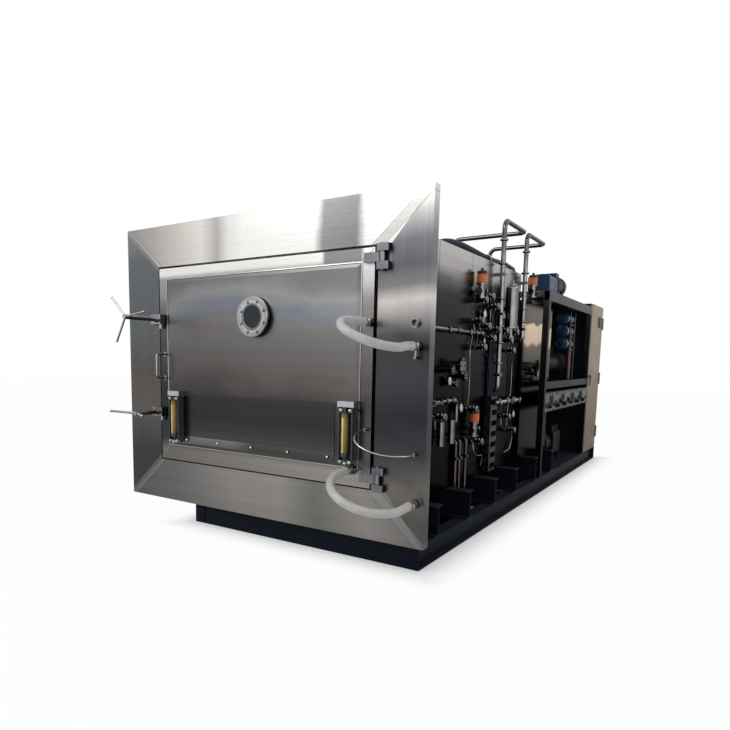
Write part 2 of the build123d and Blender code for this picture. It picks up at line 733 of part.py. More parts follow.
def gauge_brackets():
    """A dark channel behind each level gauge, with its end blocks, drain elbow and bolt."""
    solids = gauge_ends()
    wall = GAUGE_WALL
    for x in GAUGE_X:
        span = (x - GAUGE_W / 2, x + GAUGE_W / 2)
        front = GAUGE_BACK - GAUGE_DEPTH
        z = (GAUGE_Z + 30, GAUGE_Z + GAUGE_H - CAP_H)
        back = block(span, (GAUGE_BACK - wall, GAUGE_BACK), z)
        left = block((span[0], span[0] + wall), (front, GAUGE_BACK - wall), z)
        right = block((span[1] - wall, span[1]), (front, GAUGE_BACK - wall), z)
        pads = [block(span, SHEET_Y, (z0, z0 + 24)) for z0 in (z[0] + 70, z[1] - 70)]
        solids.append(back + left + right + pads[0] + pads[1])
    return solids


def gauge_tubes():
    """The amber level tubes, between their end blocks."""
    solids = []
    for x in GAUGE_X:
        start = (x - TUBE_SHIFT, GAUGE_BACK - GAUGE_WALL - GAUGE_TUBE_R - 2, GAUGE_TUBE_Z)
        solids.append(rod("z", start, GAUGE_TUBE_L, GAUGE_TUBE_R))
    return solids


def gauge_ends():
    """Stainless end blocks, caps, drain stubs and the corner bolt of each level gauge."""
    solids = []
    for x in GAUGE_X:
        tube_x = x - TUBE_SHIFT
        tube_y = GAUGE_BACK - GAUGE_WALL - GAUGE_TUBE_R - 2
        top_z = GAUGE_TUBE_Z + GAUGE_TUBE_L
        cap_z = (GAUGE_Z + GAUGE_H - CAP_H, GAUGE_Z + GAUGE_H)
        span = (x - GAUGE_W / 2 - CAP_LAP, x + GAUGE_W / 2 + CAP_LAP)
        solids.append(block(span, (GAUGE_BACK - GAUGE_DEPTH, GAUGE_BACK), cap_z))
        solids.append(rod("z", (tube_x, tube_y, top_z), cap_z[0] - top_z, GAUGE_TUBE_R - 6))
        solids.append(rod("z", (tube_x, tube_y, GAUGE_TUBE_Z - 26), 26, GAUGE_TUBE_R + 2))
        stub = rod("z", (tube_x, tube_y, GAUGE_Z), GAUGE_TUBE_Z - 26 - GAUGE_Z, 11)
        solids.append(stub + rod("y", (tube_x, tube_y - 41, GAUGE_Z + 14), 38, 9))
        solids.append(rod("x", (x + GAUGE_W / 2, GAUGE_BACK - 30, cap_z[0] - 30), 14, 9))
    return solids


def pull_handle():
    """A bent round bar with two base discs, on the door's left border."""
    x = DX0 + BORDER_SIDE * 0.6
    z0 = DZ0 + HANDLE_UP - HANDLE_L / 2 + HANDLE_R
    z1 = z0 + HANDLE_L - 2 * HANDLE_R
    base_t = 5.0
    y0, y1 = FRONT - base_t, FRONT - HANDLE_OUT + HANDLE_R
    points = [(x, y0, z0), (x, y1, z0), (x, y1, z1), (x, y0, z1)]
    bar = bent_tube(points, HANDLE_R, 0, 2.6 * HANDLE_R)
    discs = [rod("y", (x, y0, z), base_t, 2.2 * HANDLE_R) for z in (z0, z1)]
    return [bar] + discs


def hinge_blocks():
    """Each hinge's fixed half: a base in its pocket, two knuckles and the pin."""
    solids = []
    x = (OX1 + POCKET_GAP, POCKET_X - POCKET_GAP)
    for z_mid in (HINGE_LOW_Z, HINGE_HIGH_Z):
        half = POCKET_H / 2 - POCKET_GAP
        slot = HINGE_EYE_H / 2 + HINGE_EYE_GAP
        base = block(x, (FRONT + 6, RING_Y), (z_mid - half, z_mid + half))
        for low, high in ((z_mid - half, z_mid - slot), (z_mid + slot, z_mid + half)):
            knuckle = block((x[0], x[1]), (FRONT - HINGE_OUT, FRONT + 6), (low, high))
            corners = knuckle.edges().filter_by(Axis.Z).group_by(Axis.Y)[0]
            base += fillet(corners, 10)
        pin_z = z_mid - half - 6
        pin = rod("z", (HINGE_X, HINGE_Y, pin_z), 2 * half + 12, HINGE_PIN_R)
        solids.append(base + pin)
    return solids


def hinge_arms():
    """Each hinge's moving half: an arm across the door border with an eye round the pin."""
    solids = []
    arm_t = HINGE_OUT - 13
    bore = HINGE_PIN_R + HINGE_BORE_CLEAR
    for z_mid in (HINGE_LOW_Z, HINGE_HIGH_Z):
        z = (z_mid - HINGE_EYE_H / 2, z_mid + HINGE_EYE_H / 2)
        arm = block((DX1 - BORDER_SIDE * 0.72, HINGE_X), (FRONT - arm_t, FRONT), z)
        eye = rod("z", (HINGE_X, HINGE_Y, z[0]), HINGE_EYE_H, HINGE_EYE_R)
        arm = arm - block((DX1 + 1, HINGE_X + 1), (FRONT - 8, FRONT + 1), z) + eye
        solids.append(arm - rod("z", (HINGE_X, HINGE_Y, z[0] - 1), HINGE_EYE_H + 2, bore))
    return solids


def clamp_levels():
    return (DZ0 + CLAMP_LOWER_UP, DZ0 + CLAMP_UPPER_UP)


TONGUE_GAP = 2.0
TONGUE_Y = FRONT - CLAMP_PLATE_T - TONGUE_GAP - TONGUE_T


def clamp_keepers():
    """The wall-side half of each clamp: two lips with the slot that the tongue turns into."""
    solids = []
    x = (OX0 - 52, OX0 - 2)
    for z in clamp_levels():
        span = (z - CLAMP_H / 2, z + CLAMP_H / 2)
        lip_front = FRONT - CLAMP_DEPTH + 12
        slot = block((x[0] + 16, x[1] + 1), (TONGUE_Y - TONGUE_GAP, FRONT - CLAMP_PLATE_T),
                     (span[0] - 1, span[1] + 1))
        body = block(x, (lip_front, FRONT), span) - slot
        for rib_z in (z - CLAMP_H / 4, z + CLAMP_H / 4):
            groove = block((x[0] - 1, x[1] + 1), (lip_front - 1, lip_front + 5),
                           (rib_z - 7, rib_z + 7))
            body -= groove
        solids.append(body)
    return solids


def clamp_blocks():
    """The door-side half of each clamp: two plates that the spindle turns in."""
    solids = []
    x = (CLAMP_X - 28, CLAMP_X + 40)
    hole = SPINDLE_R + SPINDLE_CLEAR
    for z in clamp_levels():
        span = (z - CLAMP_H / 2, z + CLAMP_H / 2)
        back_plate = block(x, (FRONT - CLAMP_PLATE_T, FRONT), span)
        front_plate = block(x, (FRONT - CLAMP_DEPTH, TONGUE_Y - TONGUE_GAP), span)
        web = block((x[1] - 12, x[1]), (FRONT - CLAMP_DEPTH, FRONT), span)
        body = back_plate + front_plate + web
        body -= rod("y", (CLAMP_X, FRONT - CLAMP_DEPTH - 1, z), CLAMP_DEPTH, hole)
        solids.append(body)
    return solids


def spindle_with_tongue(z, reach):
    """A clamp's spindle, its long sleeve and the tongue, which hangs down when released."""
    spindle = rod("y", (CLAMP_X, FRONT - reach, z), reach - CLAMP_PLATE_T + 10, SPINDLE_R)
    hub = rod("y", (CLAMP_X, TONGUE_Y, z), TONGUE_T, TONGUE_W / 2 + 3)
    tongue = block((CLAMP_X - TONGUE_W / 2, CLAMP_X + TONGUE_W / 2),
                   (TONGUE_Y, TONGUE_Y + TONGUE_T), (z - TONGUE_L, z))
    sleeve_y = FRONT - CLAMP_DEPTH - 1
    sleeve = rod("y", (CLAMP_X, FRONT - reach, z), sleeve_y - (FRONT - reach), SLEEVE_R)
    cone = Pos(CLAMP_X, sleeve_y - 30, z) * TURN["y"] * Cone(
        SLEEVE_R, SLEEVE_R + 9, 30, align=(Align.CENTER, Align.CENTER, Align.MIN))
    return spindle + hub + tongue + sleeve + cone


def arm(z, reach, angle, length, radius):
    """A handle arm from the spindle's hub, at an angle from +X seen from the front."""
    bar = Cylinder(radius, length, align=(Align.CENTER, Align.CENTER, Align.MIN))
    tip = Pos(0, 0, length) * Sphere(radius * 1.25)
    return Pos(CLAMP_X, FRONT - reach + 14, z) * Rot(0, 90 - angle, 0) * (bar + tip)


def star_handle():
    z = clamp_levels()[1]
    body = spindle_with_tongue(z, STAR_REACH)
    for angle in (8, 136, 240):
        body += arm(z, STAR_REACH, angle, STAR_ARM_L, STAR_ARM_R)
    return [body]


def lever_handle():
    z = clamp_levels()[0]
    body = spindle_with_tongue(z, LEVER_REACH)
    body += arm(z, LEVER_REACH, 180, LEVER_LONG, LEVER_R)
    body += arm(z, LEVER_REACH, 345, LEVER_SHORT, LEVER_R)
    return [body]


# ------------------------------------------------------------------ hoses across the door joint
DOOR_ENDS = {
    "upper": (DX1 - 18, DZ0 + 1090),
    "lower": (DX1 - 137, DZ0 + 114),
    "capillary": (DX1 - 32, DZ0 + 393),
}
WALL_ENDS = {
    "upper": (RIGHT - 74, BOTTOM + 1286),
    "lower": (RIGHT - 66, BOTTOM + 292),
    "capillary": (RIGHT - 69, BOTTOM + 610),
}
# How far each mouth stands out, the straight out of it, the run before the loop, how far the
# sides spread in degrees, the loop's lean to the left and its sag
LOOPS = {
    "upper": (FITTING_OUT, 99.0, 40.0, 12.5, 35.0, 20.0),
    "lower": (FITTING_OUT, 70.0, 28.0, 0.0, 29.0, 43.0),
    "capillary": (CAPILLARY_OUT, 71.0, 54.0, -29.0, 52.0, 25.0),
}
LOOP_CORNERS = 7


def loop_points(which):
    """Corner points of a hose that leaves the door, loops round a circle and meets the wall."""
    out, first, second, spread, lean, sag = LOOPS[which]
    start, end = DOOR_ENDS[which], WALL_ENDS[which]
    chord = (end[0] - start[0], end[1] - start[1])
    half = math.hypot(*chord) / 2
    side = math.radians(spread)
    radius = (half + second * math.sin(side)) / math.cos(side)
    centre = first + second * math.cos(side) + radius * math.sin(side)
    step = (math.pi + 2 * side) / LOOP_CORNERS
    corners = [(0, 0), (0, first)]
    for k in range(LOOP_CORNERS):
        angle = step * (k + 0.5) - side
        r = radius / math.cos(step / 2)
        corners.append((half - r * math.cos(angle), centre + r * math.sin(angle)))
    corners += [(2 * half, first), (2 * half, 0)]
    points = []
    for along, away in corners:
        share = along / (2 * half)
        far = max(0, (away - first) / (centre + radius - first))
        x = start[0] + chord[0] * share - lean * far
        z = start[1] + chord[1] * share - sag * far
        points.append((x, FRONT - out - away, z))
    return points


def upper_hose():
    return [hose(loop_points("upper"), HOSE_UPPER_D)]


def lower_hose():
    return [hose(loop_points("lower"), HOSE_LOWER_D)]


def capillary_tube():
    return [hose(loop_points("capillary"), CAPILLARY_D)]


def nozzle(spot, out, diameter, drop=0.0):
    """A hose fitting: base disc, hexagon and a collar the size of its hose."""
    x, z = spot
    r = diameter / 2
    base_t = 14.0
    disc = rod("y", (x, FRONT - base_t, z - drop), base_t, r * 0.8)
    nut = hex_bar("y", (x, FRONT - out * 0.5, z), out * 0.5 - base_t, r * 1.15)
    collar = rod("y", (x, FRONT - out, z), out * 0.5, r)
    return disc + nut + collar


def hose_ends(spots, lower_drop=0.0):
    """The nozzles on one side of the door joint."""
    return [nozzle(spots["upper"], FITTING_OUT, HOSE_UPPER_D),
            nozzle(spots["lower"], FITTING_OUT, HOSE_LOWER_D, lower_drop),
            nozzle(spots["capillary"], CAPILLARY_OUT, CAPILLARY_D * 2)]


def door_fittings():
    return hose_ends(DOOR_ENDS, 15.0)


def facade_fittings():
    """Wall-side nozzles, the drain cock under the upper one, and the test port above."""
    x, z = WALL_ENDS["upper"]
    cock_z = z - HOSE_UPPER_D / 2
    cock = rod("z", (x, FRONT - 40, cock_z - 36), 38, 8)
    foot = block((x - 8, x + 8), (FRONT - 48, FRONT), (cock_z - 52, cock_z - 36))
    port_x, port_z = x - 19, z + 143
    flange = rod("y", (port_x, FRONT - 9, port_z), 9, 31, WALL_PORT_R)
    neck = rod("y", (port_x, FRONT - WALL_PORT_OUT, port_z), WALL_PORT_OUT - 9, 25, WALL_PORT_R)
    upper, lower, capillary = hose_ends(WALL_ENDS)
    return [upper + cock + foot, lower, capillary, flange + neck]


# ------------------------------------------------------------------ pipes and valves on the right
def from_front(distance):
    return FRONT + distance


LINE_X = CX1 + 30
DRAIN_Y = (from_front(1045), from_front(1117), from_front(1234))


def process_pipes():
    """Two risers that cross over the chamber, the side lines, the manifold and the drains."""
    wall = 2.0
    cross_z = TOP + 164
    riser_y, rear_y = from_front(1880), from_front(2550)
    riser_turn, rear_turn = from_front(2500), from_front(3190)
    riser_x, rear_x = MID_X + 500, MID_X + 640
    risers = (
        [(CX1, riser_y, 1110), (SIDE_X, riser_y, 1110), (SIDE_X, riser_y, cross_z),
         (SIDE_X, riser_turn, cross_z), (riser_x, riser_turn, cross_z), (riser_x, riser_turn, CZ1)],
        [(CX1, rear_y, 1570), (SIDE_X, rear_y, 1570), (SIDE_X, rear_y, cross_z),
         (SIDE_X, rear_turn, cross_z), (rear_x, rear_turn, cross_z), (rear_x, rear_turn, COND_TOP)],
    )
    solids = []
    for points in risers:
        solids += pipe_run(points, RISER_R, RISER_R - wall, [40, 70, 70, 70])
    r = SIDE_PIPE_R
    for z, y, low in ((1596, from_front(1566), 1500), (1066, from_front(1010), 880)):
        points = [(LINE_X, FRONT + FACADE_T, z), (LINE_X, y, z), (LINE_X, y, low), (CX1, y, low)]
        solids += pipe_run(points, r, r - wall, [45, 26])
    manifold = (SIDE_X + 42, from_front(1700), 1010)
    solids.append(rod("y", manifold, 720, RISER_R, RISER_R - wall))
    for k, y in enumerate(DRAIN_Y):
        x = CX1 + 24 + 5 * k
        points = [(CX1, y, 735), (x, y, 735), (x, y, CZ0 - 60), (x - 70, y, CZ0 - 60)]
        solids += pipe_run(points, DRAIN_R, DRAIN_R - wall, [18, 34])
    return solids + pipe_clips()


def pipe_clips():
    """Blocks and saddles that hold the pipes and hang the valves on the cladding."""
    solids = []
    for z in (1250, 1780, 2120):
        solids.append(pipe_clip(SIDE_X, from_front(1880), z, "z", RISER_R))
    for z in (1680, 2120):
        solids.append(pipe_clip(SIDE_X, from_front(2550), z, "z", RISER_R))
    for y in (240, 800, 1220):
        solids.append(pipe_clip(LINE_X, from_front(y), 1596, "y", SIDE_PIPE_R))
    for y in (240, 700):
        solids.append(pipe_clip(LINE_X, from_front(y), 1066, "y", SIDE_PIPE_R))
    for k, y in enumerate(DRAIN_Y):
        solids.append(pipe_clip(CX1 + 24 + 5 * k, y, 600, "z", DRAIN_R))
    for y in (2120, 2360):
        solids.append(pipe_clip(SIDE_X + 42, from_front(y), 1010, "y", RISER_R))
    return solids


ACTUATOR_SPOTS = ((1384, 1990, CX1), (2725, 2115, KX1), (1345, 872, CX1))


def valve_bodies():
    """Globe valve bodies with flanges, each on a bracket from the wall behind it."""
    solids = []
    for y, z, wall in ACTUATOR_SPOTS:
        x = wall + ACTUATOR_R + 14
        base_z = z - 120
        stem = rod("z", (x, from_front(y), base_z), 120, 26)
        low = rod("z", (x, from_front(y), base_z), 14, 40)
        high = rod("z", (x, from_front(y), z - 14), 14, 40)
        branch = rod("y", (x, from_front(y) - 70, base_z + 56), 140, 18)
        ends = [rod("y", (x, from_front(y) + s, base_z + 56), 12, 30) for s in (-70, 58)]
        low_z = COND_TOP - 30 if wall == KX1 else base_z
        bracket = block((wall, x), (from_front(y) - 9, from_front(y) + 9), (low_z, base_z + 20))
        solids.append(stem + low + high + branch + ends[0] + ends[1] + bracket)
    return solids + [ball_valve()]


def valve_actuators():
    """Round air actuators on top of the globe valves."""
    solids = []
    for y, z, wall in ACTUATOR_SPOTS:
        x = wall + ACTUATOR_R + 14
        body = rod("z", (x, from_front(y), z), ACTUATOR_H, ACTUATOR_R)
        rims = body.edges().filter_by(GeomType.CIRCLE)
        solids.append(fillet(rims, 8))
        solids.append(rod("z", (x, from_front(y), z + ACTUATOR_H), 22, 12))
    return solids


def filter_housing():
    """A sterile filter housing with a domed head, a clamp joint and a drain foot."""
    x = CX1 + FILTER_R + 18
    y = from_front(2130)
    z0 = 1690.0
    shell = rod("z", (x, y, z0), FILTER_H, FILTER_R)
    dome = Pos(x, y, z0 + FILTER_H) * Sphere(FILTER_R)
    dome &= block((x - 60, x + 60), (y - 60, y + 60), (z0 + FILTER_H, z0 + FILTER_H + 60))
    stub = rod("z", (x, y, z0 + FILTER_H + FILTER_R - 6), 30, 12)
    joint = rod("z", (x, y, z0 - 24), 24, FILTER_R + 14)
    foot = rod("z", (x, y, z0 - 90), 66, 18)
    foot_flange = rod("z", (x, y, z0 - 102), 12, 30)
    ear = block((CX1, x), (y - 12, y + 12), (z0 + 140, z0 + 170))
    low_ear = block((CX1, x), (y - 12, y + 12), (z0 - 22, z0 - 4))
    return [shell + dome + stub + joint + foot + foot_flange + ear + low_ear]


def port(y, z, wall, out=70.0, radius=62.0):
    """A flanged service port on a side wall, with a blank cover and bolts."""
    spot = (wall, from_front(y), z)
    body = rod("x", spot, out, radius * 0.62)
    body += rod("x", (wall + out, spot[1], z), 24, radius)
    for i in range(6):
        angle = math.pi * i / 3
        head = hex_bar("x", (wall + out + 24, spot[1] + radius * 0.8 * math.cos(angle),
                             z + radius * 0.8 * math.sin(angle)), 8, 7)
        body += head
    return body


def port_clusters():
    """Two groups of flanged ports and sampling valves, and the fittings on the chamber's roof."""
    solids = []
    for y, wall in ((953, CX1), (2905, KX1)):
        solids.append(port(y, 1330, wall))
        solids.append(port(y + 130, 1250, wall, 46, 36))
        solids.append(port(y - 150, 1300, wall, 52, 32))
        solids.append(port(y - 40, 1200, wall, 40, 30))
    for y in (694, 895):
        can = rod("z", (CX1 + 42, from_front(y), 740), 180, 27)
        foot = block((CX1, CX1 + 42), (from_front(y) - 8, from_front(y) + 8), (800, 816))
        solids.append(can + foot)
    relief_x, relief_y = CX1 - 120, from_front(330)
    relief = rod("z", (relief_x, relief_y, CZ1), 60, 26) + rod("z", (relief_x, relief_y, CZ1 + 60), 12, 44)
    relief += rod("z", (relief_x, relief_y, CZ1 + 72), 70, 20)
    solids.append(relief)
    elbow_y = from_front(540)
    vent = [(relief_x, elbow_y, CZ1), (relief_x, elbow_y, CZ1 + 120),
            (relief_x - 220, elbow_y, CZ1 + 120)]
    solids += pipe_run(vent, 24, 21, 60)
    return solids


def valve_lever():
    """A quarter-turn lever with its stem, on the lower side line's ball valve."""
    x0 = LINE_X + 26
    y, z = from_front(520), 1066.0
    stem = rod("x", (x0 - 9, y, z), 25, 6)
    lever = block((x0 + 8, x0 + 13), (y - 12, y + 130), (z - 10, z + 10))
    return [stem + lever]


def ball_valve():
    """The ball valve's body round the lower side line, with the lever's stem hole."""
    x = LINE_X
    y, z = from_front(520), 1066.0
    body = block((x - 24, x + 26), (y - 34, y + 34), (z - 24, z + 24))
    body -= rod("y", (x, y - 40, z), 80, SIDE_PIPE_R)
    body -= rod("x", (x + 26 - 9.5, y, z), 14, 6.05)
    return body


# ------------------------------------------------------------------ machine bay
def tube_bar(x, y, z, along):
    """A hollow square bar between the given corners, open at its ends."""
    bar = block(x, y, z)
    w = BAY_WALL
    grow = {"x": (1, -w, -w), "y": (-w, 1, -w), "z": (-w, -w, 1)}[along]
    return bar - block((x[0] - grow[0], x[1] + grow[0]), (y[0] - grow[1], y[1] + grow[1]),
                       (z[0] - grow[2], z[1] + grow[2]))


def machine_frame():
    post = BAY_POST
    rail_z = (BAY_TOP - BAY_TOP_RAIL, BAY_TOP)
    mid_z = (BAY_MID - BAY_MID_RAIL, BAY_MID)
    right = (BAY_X - post, BAY_X)
    left = (-BAY_X, -BAY_X + post)
    solids = []
    for x in (left, right):
        for y0 in (BAY_Y0, BAY_Y1 - post):
            solids.append(tube_bar(x, (y0, y0 + post), (SKID_H, rail_z[0]), "z"))
        solids.append(tube_bar(x, (BAY_Y0, BAY_Y1), rail_z, "y"))
        solids.append(tube_bar(x, (BAY_Y0 + post, BAY_Y1 - post), mid_z, "y"))
    cross_x = (left[1], right[0])
    for y0 in (BAY_Y0, KY1 + 40, BAY_Y1 - post):
        solids.append(tube_bar(cross_x, (y0, y0 + post), (rail_z[1] - post, rail_z[1]), "x"))
    mid_cross = (BAY_Y1 - post, BAY_Y1)
    solids.append(tube_bar(cross_x, mid_cross, (mid_z[1] - post, mid_z[1]), "x"))
    solids.append(block((left[1], right[0]), (KY1 + 40 + post, BAY_Y1 - post), (BAY_TOP - 6, BAY_TOP)))
    shelf_x = (right[0] - 340, right[0])
    solids.append(block(shelf_x, (BAY_Y0 + post, KY1 + 40), (BAY_TOP - 6, BAY_TOP)))
    deck_y = (KY1 + 40 + post, BAY_Y1 - post)
    solids.append(tube_bar((left[1], right[0]), (KY1 + 40, KY1 + 40 + post),
                           (mid_z[1] - post, mid_z[1]), "x"))
    solids.append(block((left[1], right[0]), deck_y, (BAY_MID - 8, BAY_MID)))
    return solids


def cable_trays():
    """A slotted tray along the bay's right side and an upright one beside the chamber."""
    z1 = BAY_MID - BAY_MID_RAIL - 45
    z = (z1 - TRAY_H, z1)
    x = (BAY_X - TRAY_DEPTH, BAY_X)
    y = (BAY_Y0 + BAY_POST, BAY_Y1 - BAY_POST)
    face = block((x[1] - TRAY_T, x[1]), y, z)
    pitch = (y[1] - y[0]) / TRAY_SLOTS
    for i in range(TRAY_SLOTS):
        y0 = y[0] + (i + 0.22) * pitch
        face -= block((x[0], x[1] + 1), (y0, y0 + 0.56 * pitch), (z[0] + 40, z[0] + 92))
    back = block((x[0], x[0] + TRAY_T), y, z)
    low = block((x[0] + TRAY_T, x[1] - TRAY_T), y, (z[0], z[0] + TRAY_T))
    solids = [face, back, low]
    ux = (CX1, CX1 + TRAY_DEPTH)
    uy = (from_front(1744), from_front(1744) + UPRIGHT_W)
    uz = (CZ0 + 16, CZ0 + 16 + UPRIGHT_H)
    upright = block((ux[1] - TRAY_T, ux[1]), uy, uz)
    rows = 7
    step = UPRIGHT_H / rows
    for i in range(rows):
        for k in range(4):
            y0 = uy[0] + 22 + k * (UPRIGHT_W - 30) / 4
            z0 = uz[0] + (i + 0.25) * step
            upright -= block((ux[0], ux[1] + 1), (y0, y0 + 44), (z0, z0 + 0.5 * step))
    side_a = block((ux[0], ux[1] - TRAY_T), (uy[0], uy[0] + TRAY_T), uz)
    side_b = block((ux[0], ux[1] - TRAY_T), (uy[1] - TRAY_T, uy[1]), uz)
    return solids + [upright, side_a, side_b]


def compressor(x, y0):
    """A semi-hermetic compressor: motor barrel, crankcase, two heads, stop valve and feet."""
    z = FLOOR_Z + 64 + COMPRESSOR_R
    barrel = rod("y", (x, y0, z), COMPRESSOR_L, COMPRESSOR_R * 0.86)
    crank = block((x - COMPRESSOR_R, x + COMPRESSOR_R), (y0 + COMPRESSOR_L * 0.45, y0 + COMPRESSOR_L),
                  (z - COMPRESSOR_R, z + COMPRESSOR_R * 0.9))
    body = barrel + fillet(crank.edges().filter_by(Axis.Y), 30)
    for k in (0.52, 0.78):
        head_y = y0 + COMPRESSOR_L * k
        head = block((x - COMPRESSOR_R * 0.8, x + COMPRESSOR_R * 0.8), (head_y, head_y + 110),
                     (z + COMPRESSOR_R * 0.9, z + COMPRESSOR_R * 0.9 + 70))
        body += fillet(head.edges().filter_by(Axis.Z), 14)
    body += rod("z", (x, y0 + COMPRESSOR_L * 0.22, z + COMPRESSOR_R * 0.8), 90, 34)
    body += rod("y", (x, y0 - 22, z), 22, COMPRESSOR_R * 0.98)
    feet = [block((x - COMPRESSOR_R, x + COMPRESSOR_R), (y0 + COMPRESSOR_L * k, y0 + COMPRESSOR_L * k + 50),
                  (FLOOR_Z, z - COMPRESSOR_R)) for k in (0.48, 0.88)]
    body += feet[0] + feet[1]
    front_foot = block((x - 60, x + 60), (y0 + 20, y0 + 70), (FLOOR_Z, z))
    return [body + front_foot]


BAY_MACHINE_Y = KY1 + 40 + BAY_POST + 80


def compressor_a():
    return compressor(BAY_X - 330, BAY_MACHINE_Y + 20)


def compressor_b():
    return compressor(BAY_X - 760, BAY_MACHINE_Y + 20)


def vacuum_pump():
    """An oil-sealed rotary vacuum pump with its motor, filter can and outlet, on the left."""
    x, y0 = -BAY_X + 360, BAY_MACHINE_Y
    z0 = FLOOR_Z
    case = block((x - 190, x + 190), (y0 + 420, y0 + 1000), (z0 + 30, z0 + 430))
    body = fillet(case.edges().filter_by(Axis.Y), 40)
    body += rod("y", (x, y0 + 30, z0 + 250), 390, 130)
    body += rod("y", (x, y0, z0 + 250), 30, 142)
    body += rod("z", (x, y0 + 800, z0 + 430), 190, 85)
    body += rod("z", (x + 60, y0 + 520, z0 + 430), 120, 50)
    body += block((x - 170, x + 170), (y0 + 60, y0 + 960), (z0, z0 + 30))
    body += block((x - 70, x + 70), (y0 + 150, y0 + 210), (z0 + 30, z0 + 160))
    return [body]


def refrigerant_receiver():
    """A lying receiver with dished ends and saddles, on the bay's upper deck."""
    x = BAY_X - 360
    y0 = BAY_MACHINE_Y - 20
    length = min(RECEIVER_L, BAY_Y1 - BAY_POST - 60 - y0)
    z = BAY_MID + 70 + RECEIVER_R
    shell = rod("y", (x, y0, z), length, RECEIVER_R)
    shell = fillet(shell.edges().filter_by(GeomType.CIRCLE), RECEIVER_R * 0.6)
    for share in (0.2, 0.8):
        y = y0 + length * share
        saddle = block((x - 90, x + 90), (y - 25, y + 25), (BAY_MID, z - RECEIVER_R * 0.6))
        shell += saddle
    for share in (0.35, 0.6):
        shell += rod("z", (x, y0 + length * share, z + RECEIVER_R - 8), 60, 22)
    return [shell]


def brine_tank():
    """A heat-transfer oil tank, circulation pump and their pipe, on the bay's upper deck."""
    x0, x1 = -BAY_X + 130, PORT_X - CYLINDER_R - 50
    y0, y1 = BAY_MACHINE_Y, BAY_Y1 - BAY_POST - 240
    tank = block((x0, x1), (y0, y1), (BAY_MID, BAY_MID + TANK_H))
    tank = fillet(tank.edges().filter_by(Axis.Z), 40)
    inside = block((x0 + TANK_WALL, x1 - TANK_WALL), (y0 + TANK_WALL, y1 - TANK_WALL),
                   (BAY_MID + TANK_WALL, BAY_MID + TANK_H - TANK_WALL))
    tank -= fillet(inside.edges().filter_by(Axis.Z), 40 - TANK_WALL)
    tank += rod("z", ((x0 + x1) / 2, (y0 + y1) / 2, BAY_MID + TANK_H), 40, 90)
    tank += rod("z", (x1 - 120, y0 + 140, BAY_MID + TANK_H), 110, 30)
    return [tank]


BOOSTER_X = BAY_X - 210
BOOSTER_Z = BAY_TOP + 30 + MOTOR_R


def booster_motor():
    """The finned motor of the booster pump, with its terminal box and end cowl."""
    y0 = from_front(BOOSTER_FROM_FRONT + BOOSTER_L)
    core = rod("y", (BOOSTER_X, y0 + 60, BOOSTER_Z), MOTOR_L - 60, MOTOR_R - 10)
    fins = 20
    for i in range(fins):
        fin = block((-3, 3), (0, MOTOR_L - 150), (MOTOR_R - 14, MOTOR_R))
        core += Pos(BOOSTER_X, y0 + 80, BOOSTER_Z) * Rot(0, 360 / fins * (i + 0.5), 0) * fin
    core += rod("y", (BOOSTER_X, y0, BOOSTER_Z), 60, MOTOR_R * 0.86)
    core += rod("y", (BOOSTER_X, y0 + MOTOR_L - 70, BOOSTER_Z), 70, MOTOR_R)
    core += block((BOOSTER_X - 55, BOOSTER_X + 55), (y0 + MOTOR_L * 0.34, y0 + MOTOR_L * 0.66),
                  (BOOSTER_Z + MOTOR_R - 20, BOOSTER_Z + MOTOR_R + 22))
    for share in (0.25, 0.75):
        y = y0 + MOTOR_L * share
        core += block((BOOSTER_X - 100, BOOSTER_X + 100), (y - 20, y + 20),
                      (BAY_TOP, BOOSTER_Z - MOTOR_R * 0.62))
    return [core]


def roots_booster():
    """The booster pump's casing with its gear ends, inlet flange and feet."""
    y0 = from_front(BOOSTER_FROM_FRONT)
    r = MOTOR_R
    body = rod("y", (BOOSTER_X, y0 + BOOSTER_L - 40, BOOSTER_Z), 40, r * 0.8)
    mid_y = (y0, y0 + BOOSTER_L - 40)
    case = block((BOOSTER_X - r, BOOSTER_X + r), mid_y, (BAY_TOP + 14, BOOSTER_Z + r * 0.55))
    body += fillet(case.edges().filter_by(Axis.Y), 45)
    mid = (mid_y[0] + mid_y[1]) / 2
    body += rod("z", (BOOSTER_X, mid, BOOSTER_Z + r * 0.55 - 12), 30, 62)
    for y in (mid_y[0] + 60, mid_y[1] - 100):
        body += block((BOOSTER_X - r, BOOSTER_X + r), (y, y + 40), (BAY_TOP, BAY_TOP + 30))
    return [body]


def cooling_pipes():
    """Cooling water inlet and outlet stubs through the skid's rear channel."""
    solids = []
    for x in (-SKID_W / 4, -SKID_W / 4 + 220):
        y1 = SKID_L / 2 + COOLING_PIPE_L
        run = rod("y", (x, SKID_L / 2 - 420, SKID_H + 120), 420 + COOLING_PIPE_L, COOLING_PIPE_R)
        plate = block((x - 60, x + 60), (SKID_L / 2 - 70, SKID_L / 2 - 50), (SKID_H, SKID_H + 120))
        solids.append(run + plate + rod("y", (x, y1 - COOLING_PIPE_L - 12, SKID_H + 120), 12, 60))
    return solids


# ------------------------------------------------------------------ control cabinet
HINGE_LINE_X = CAB_X1 + CABINET_HINGE_R + 1
HINGE_LINE_Y = CAB_Y1 - 12


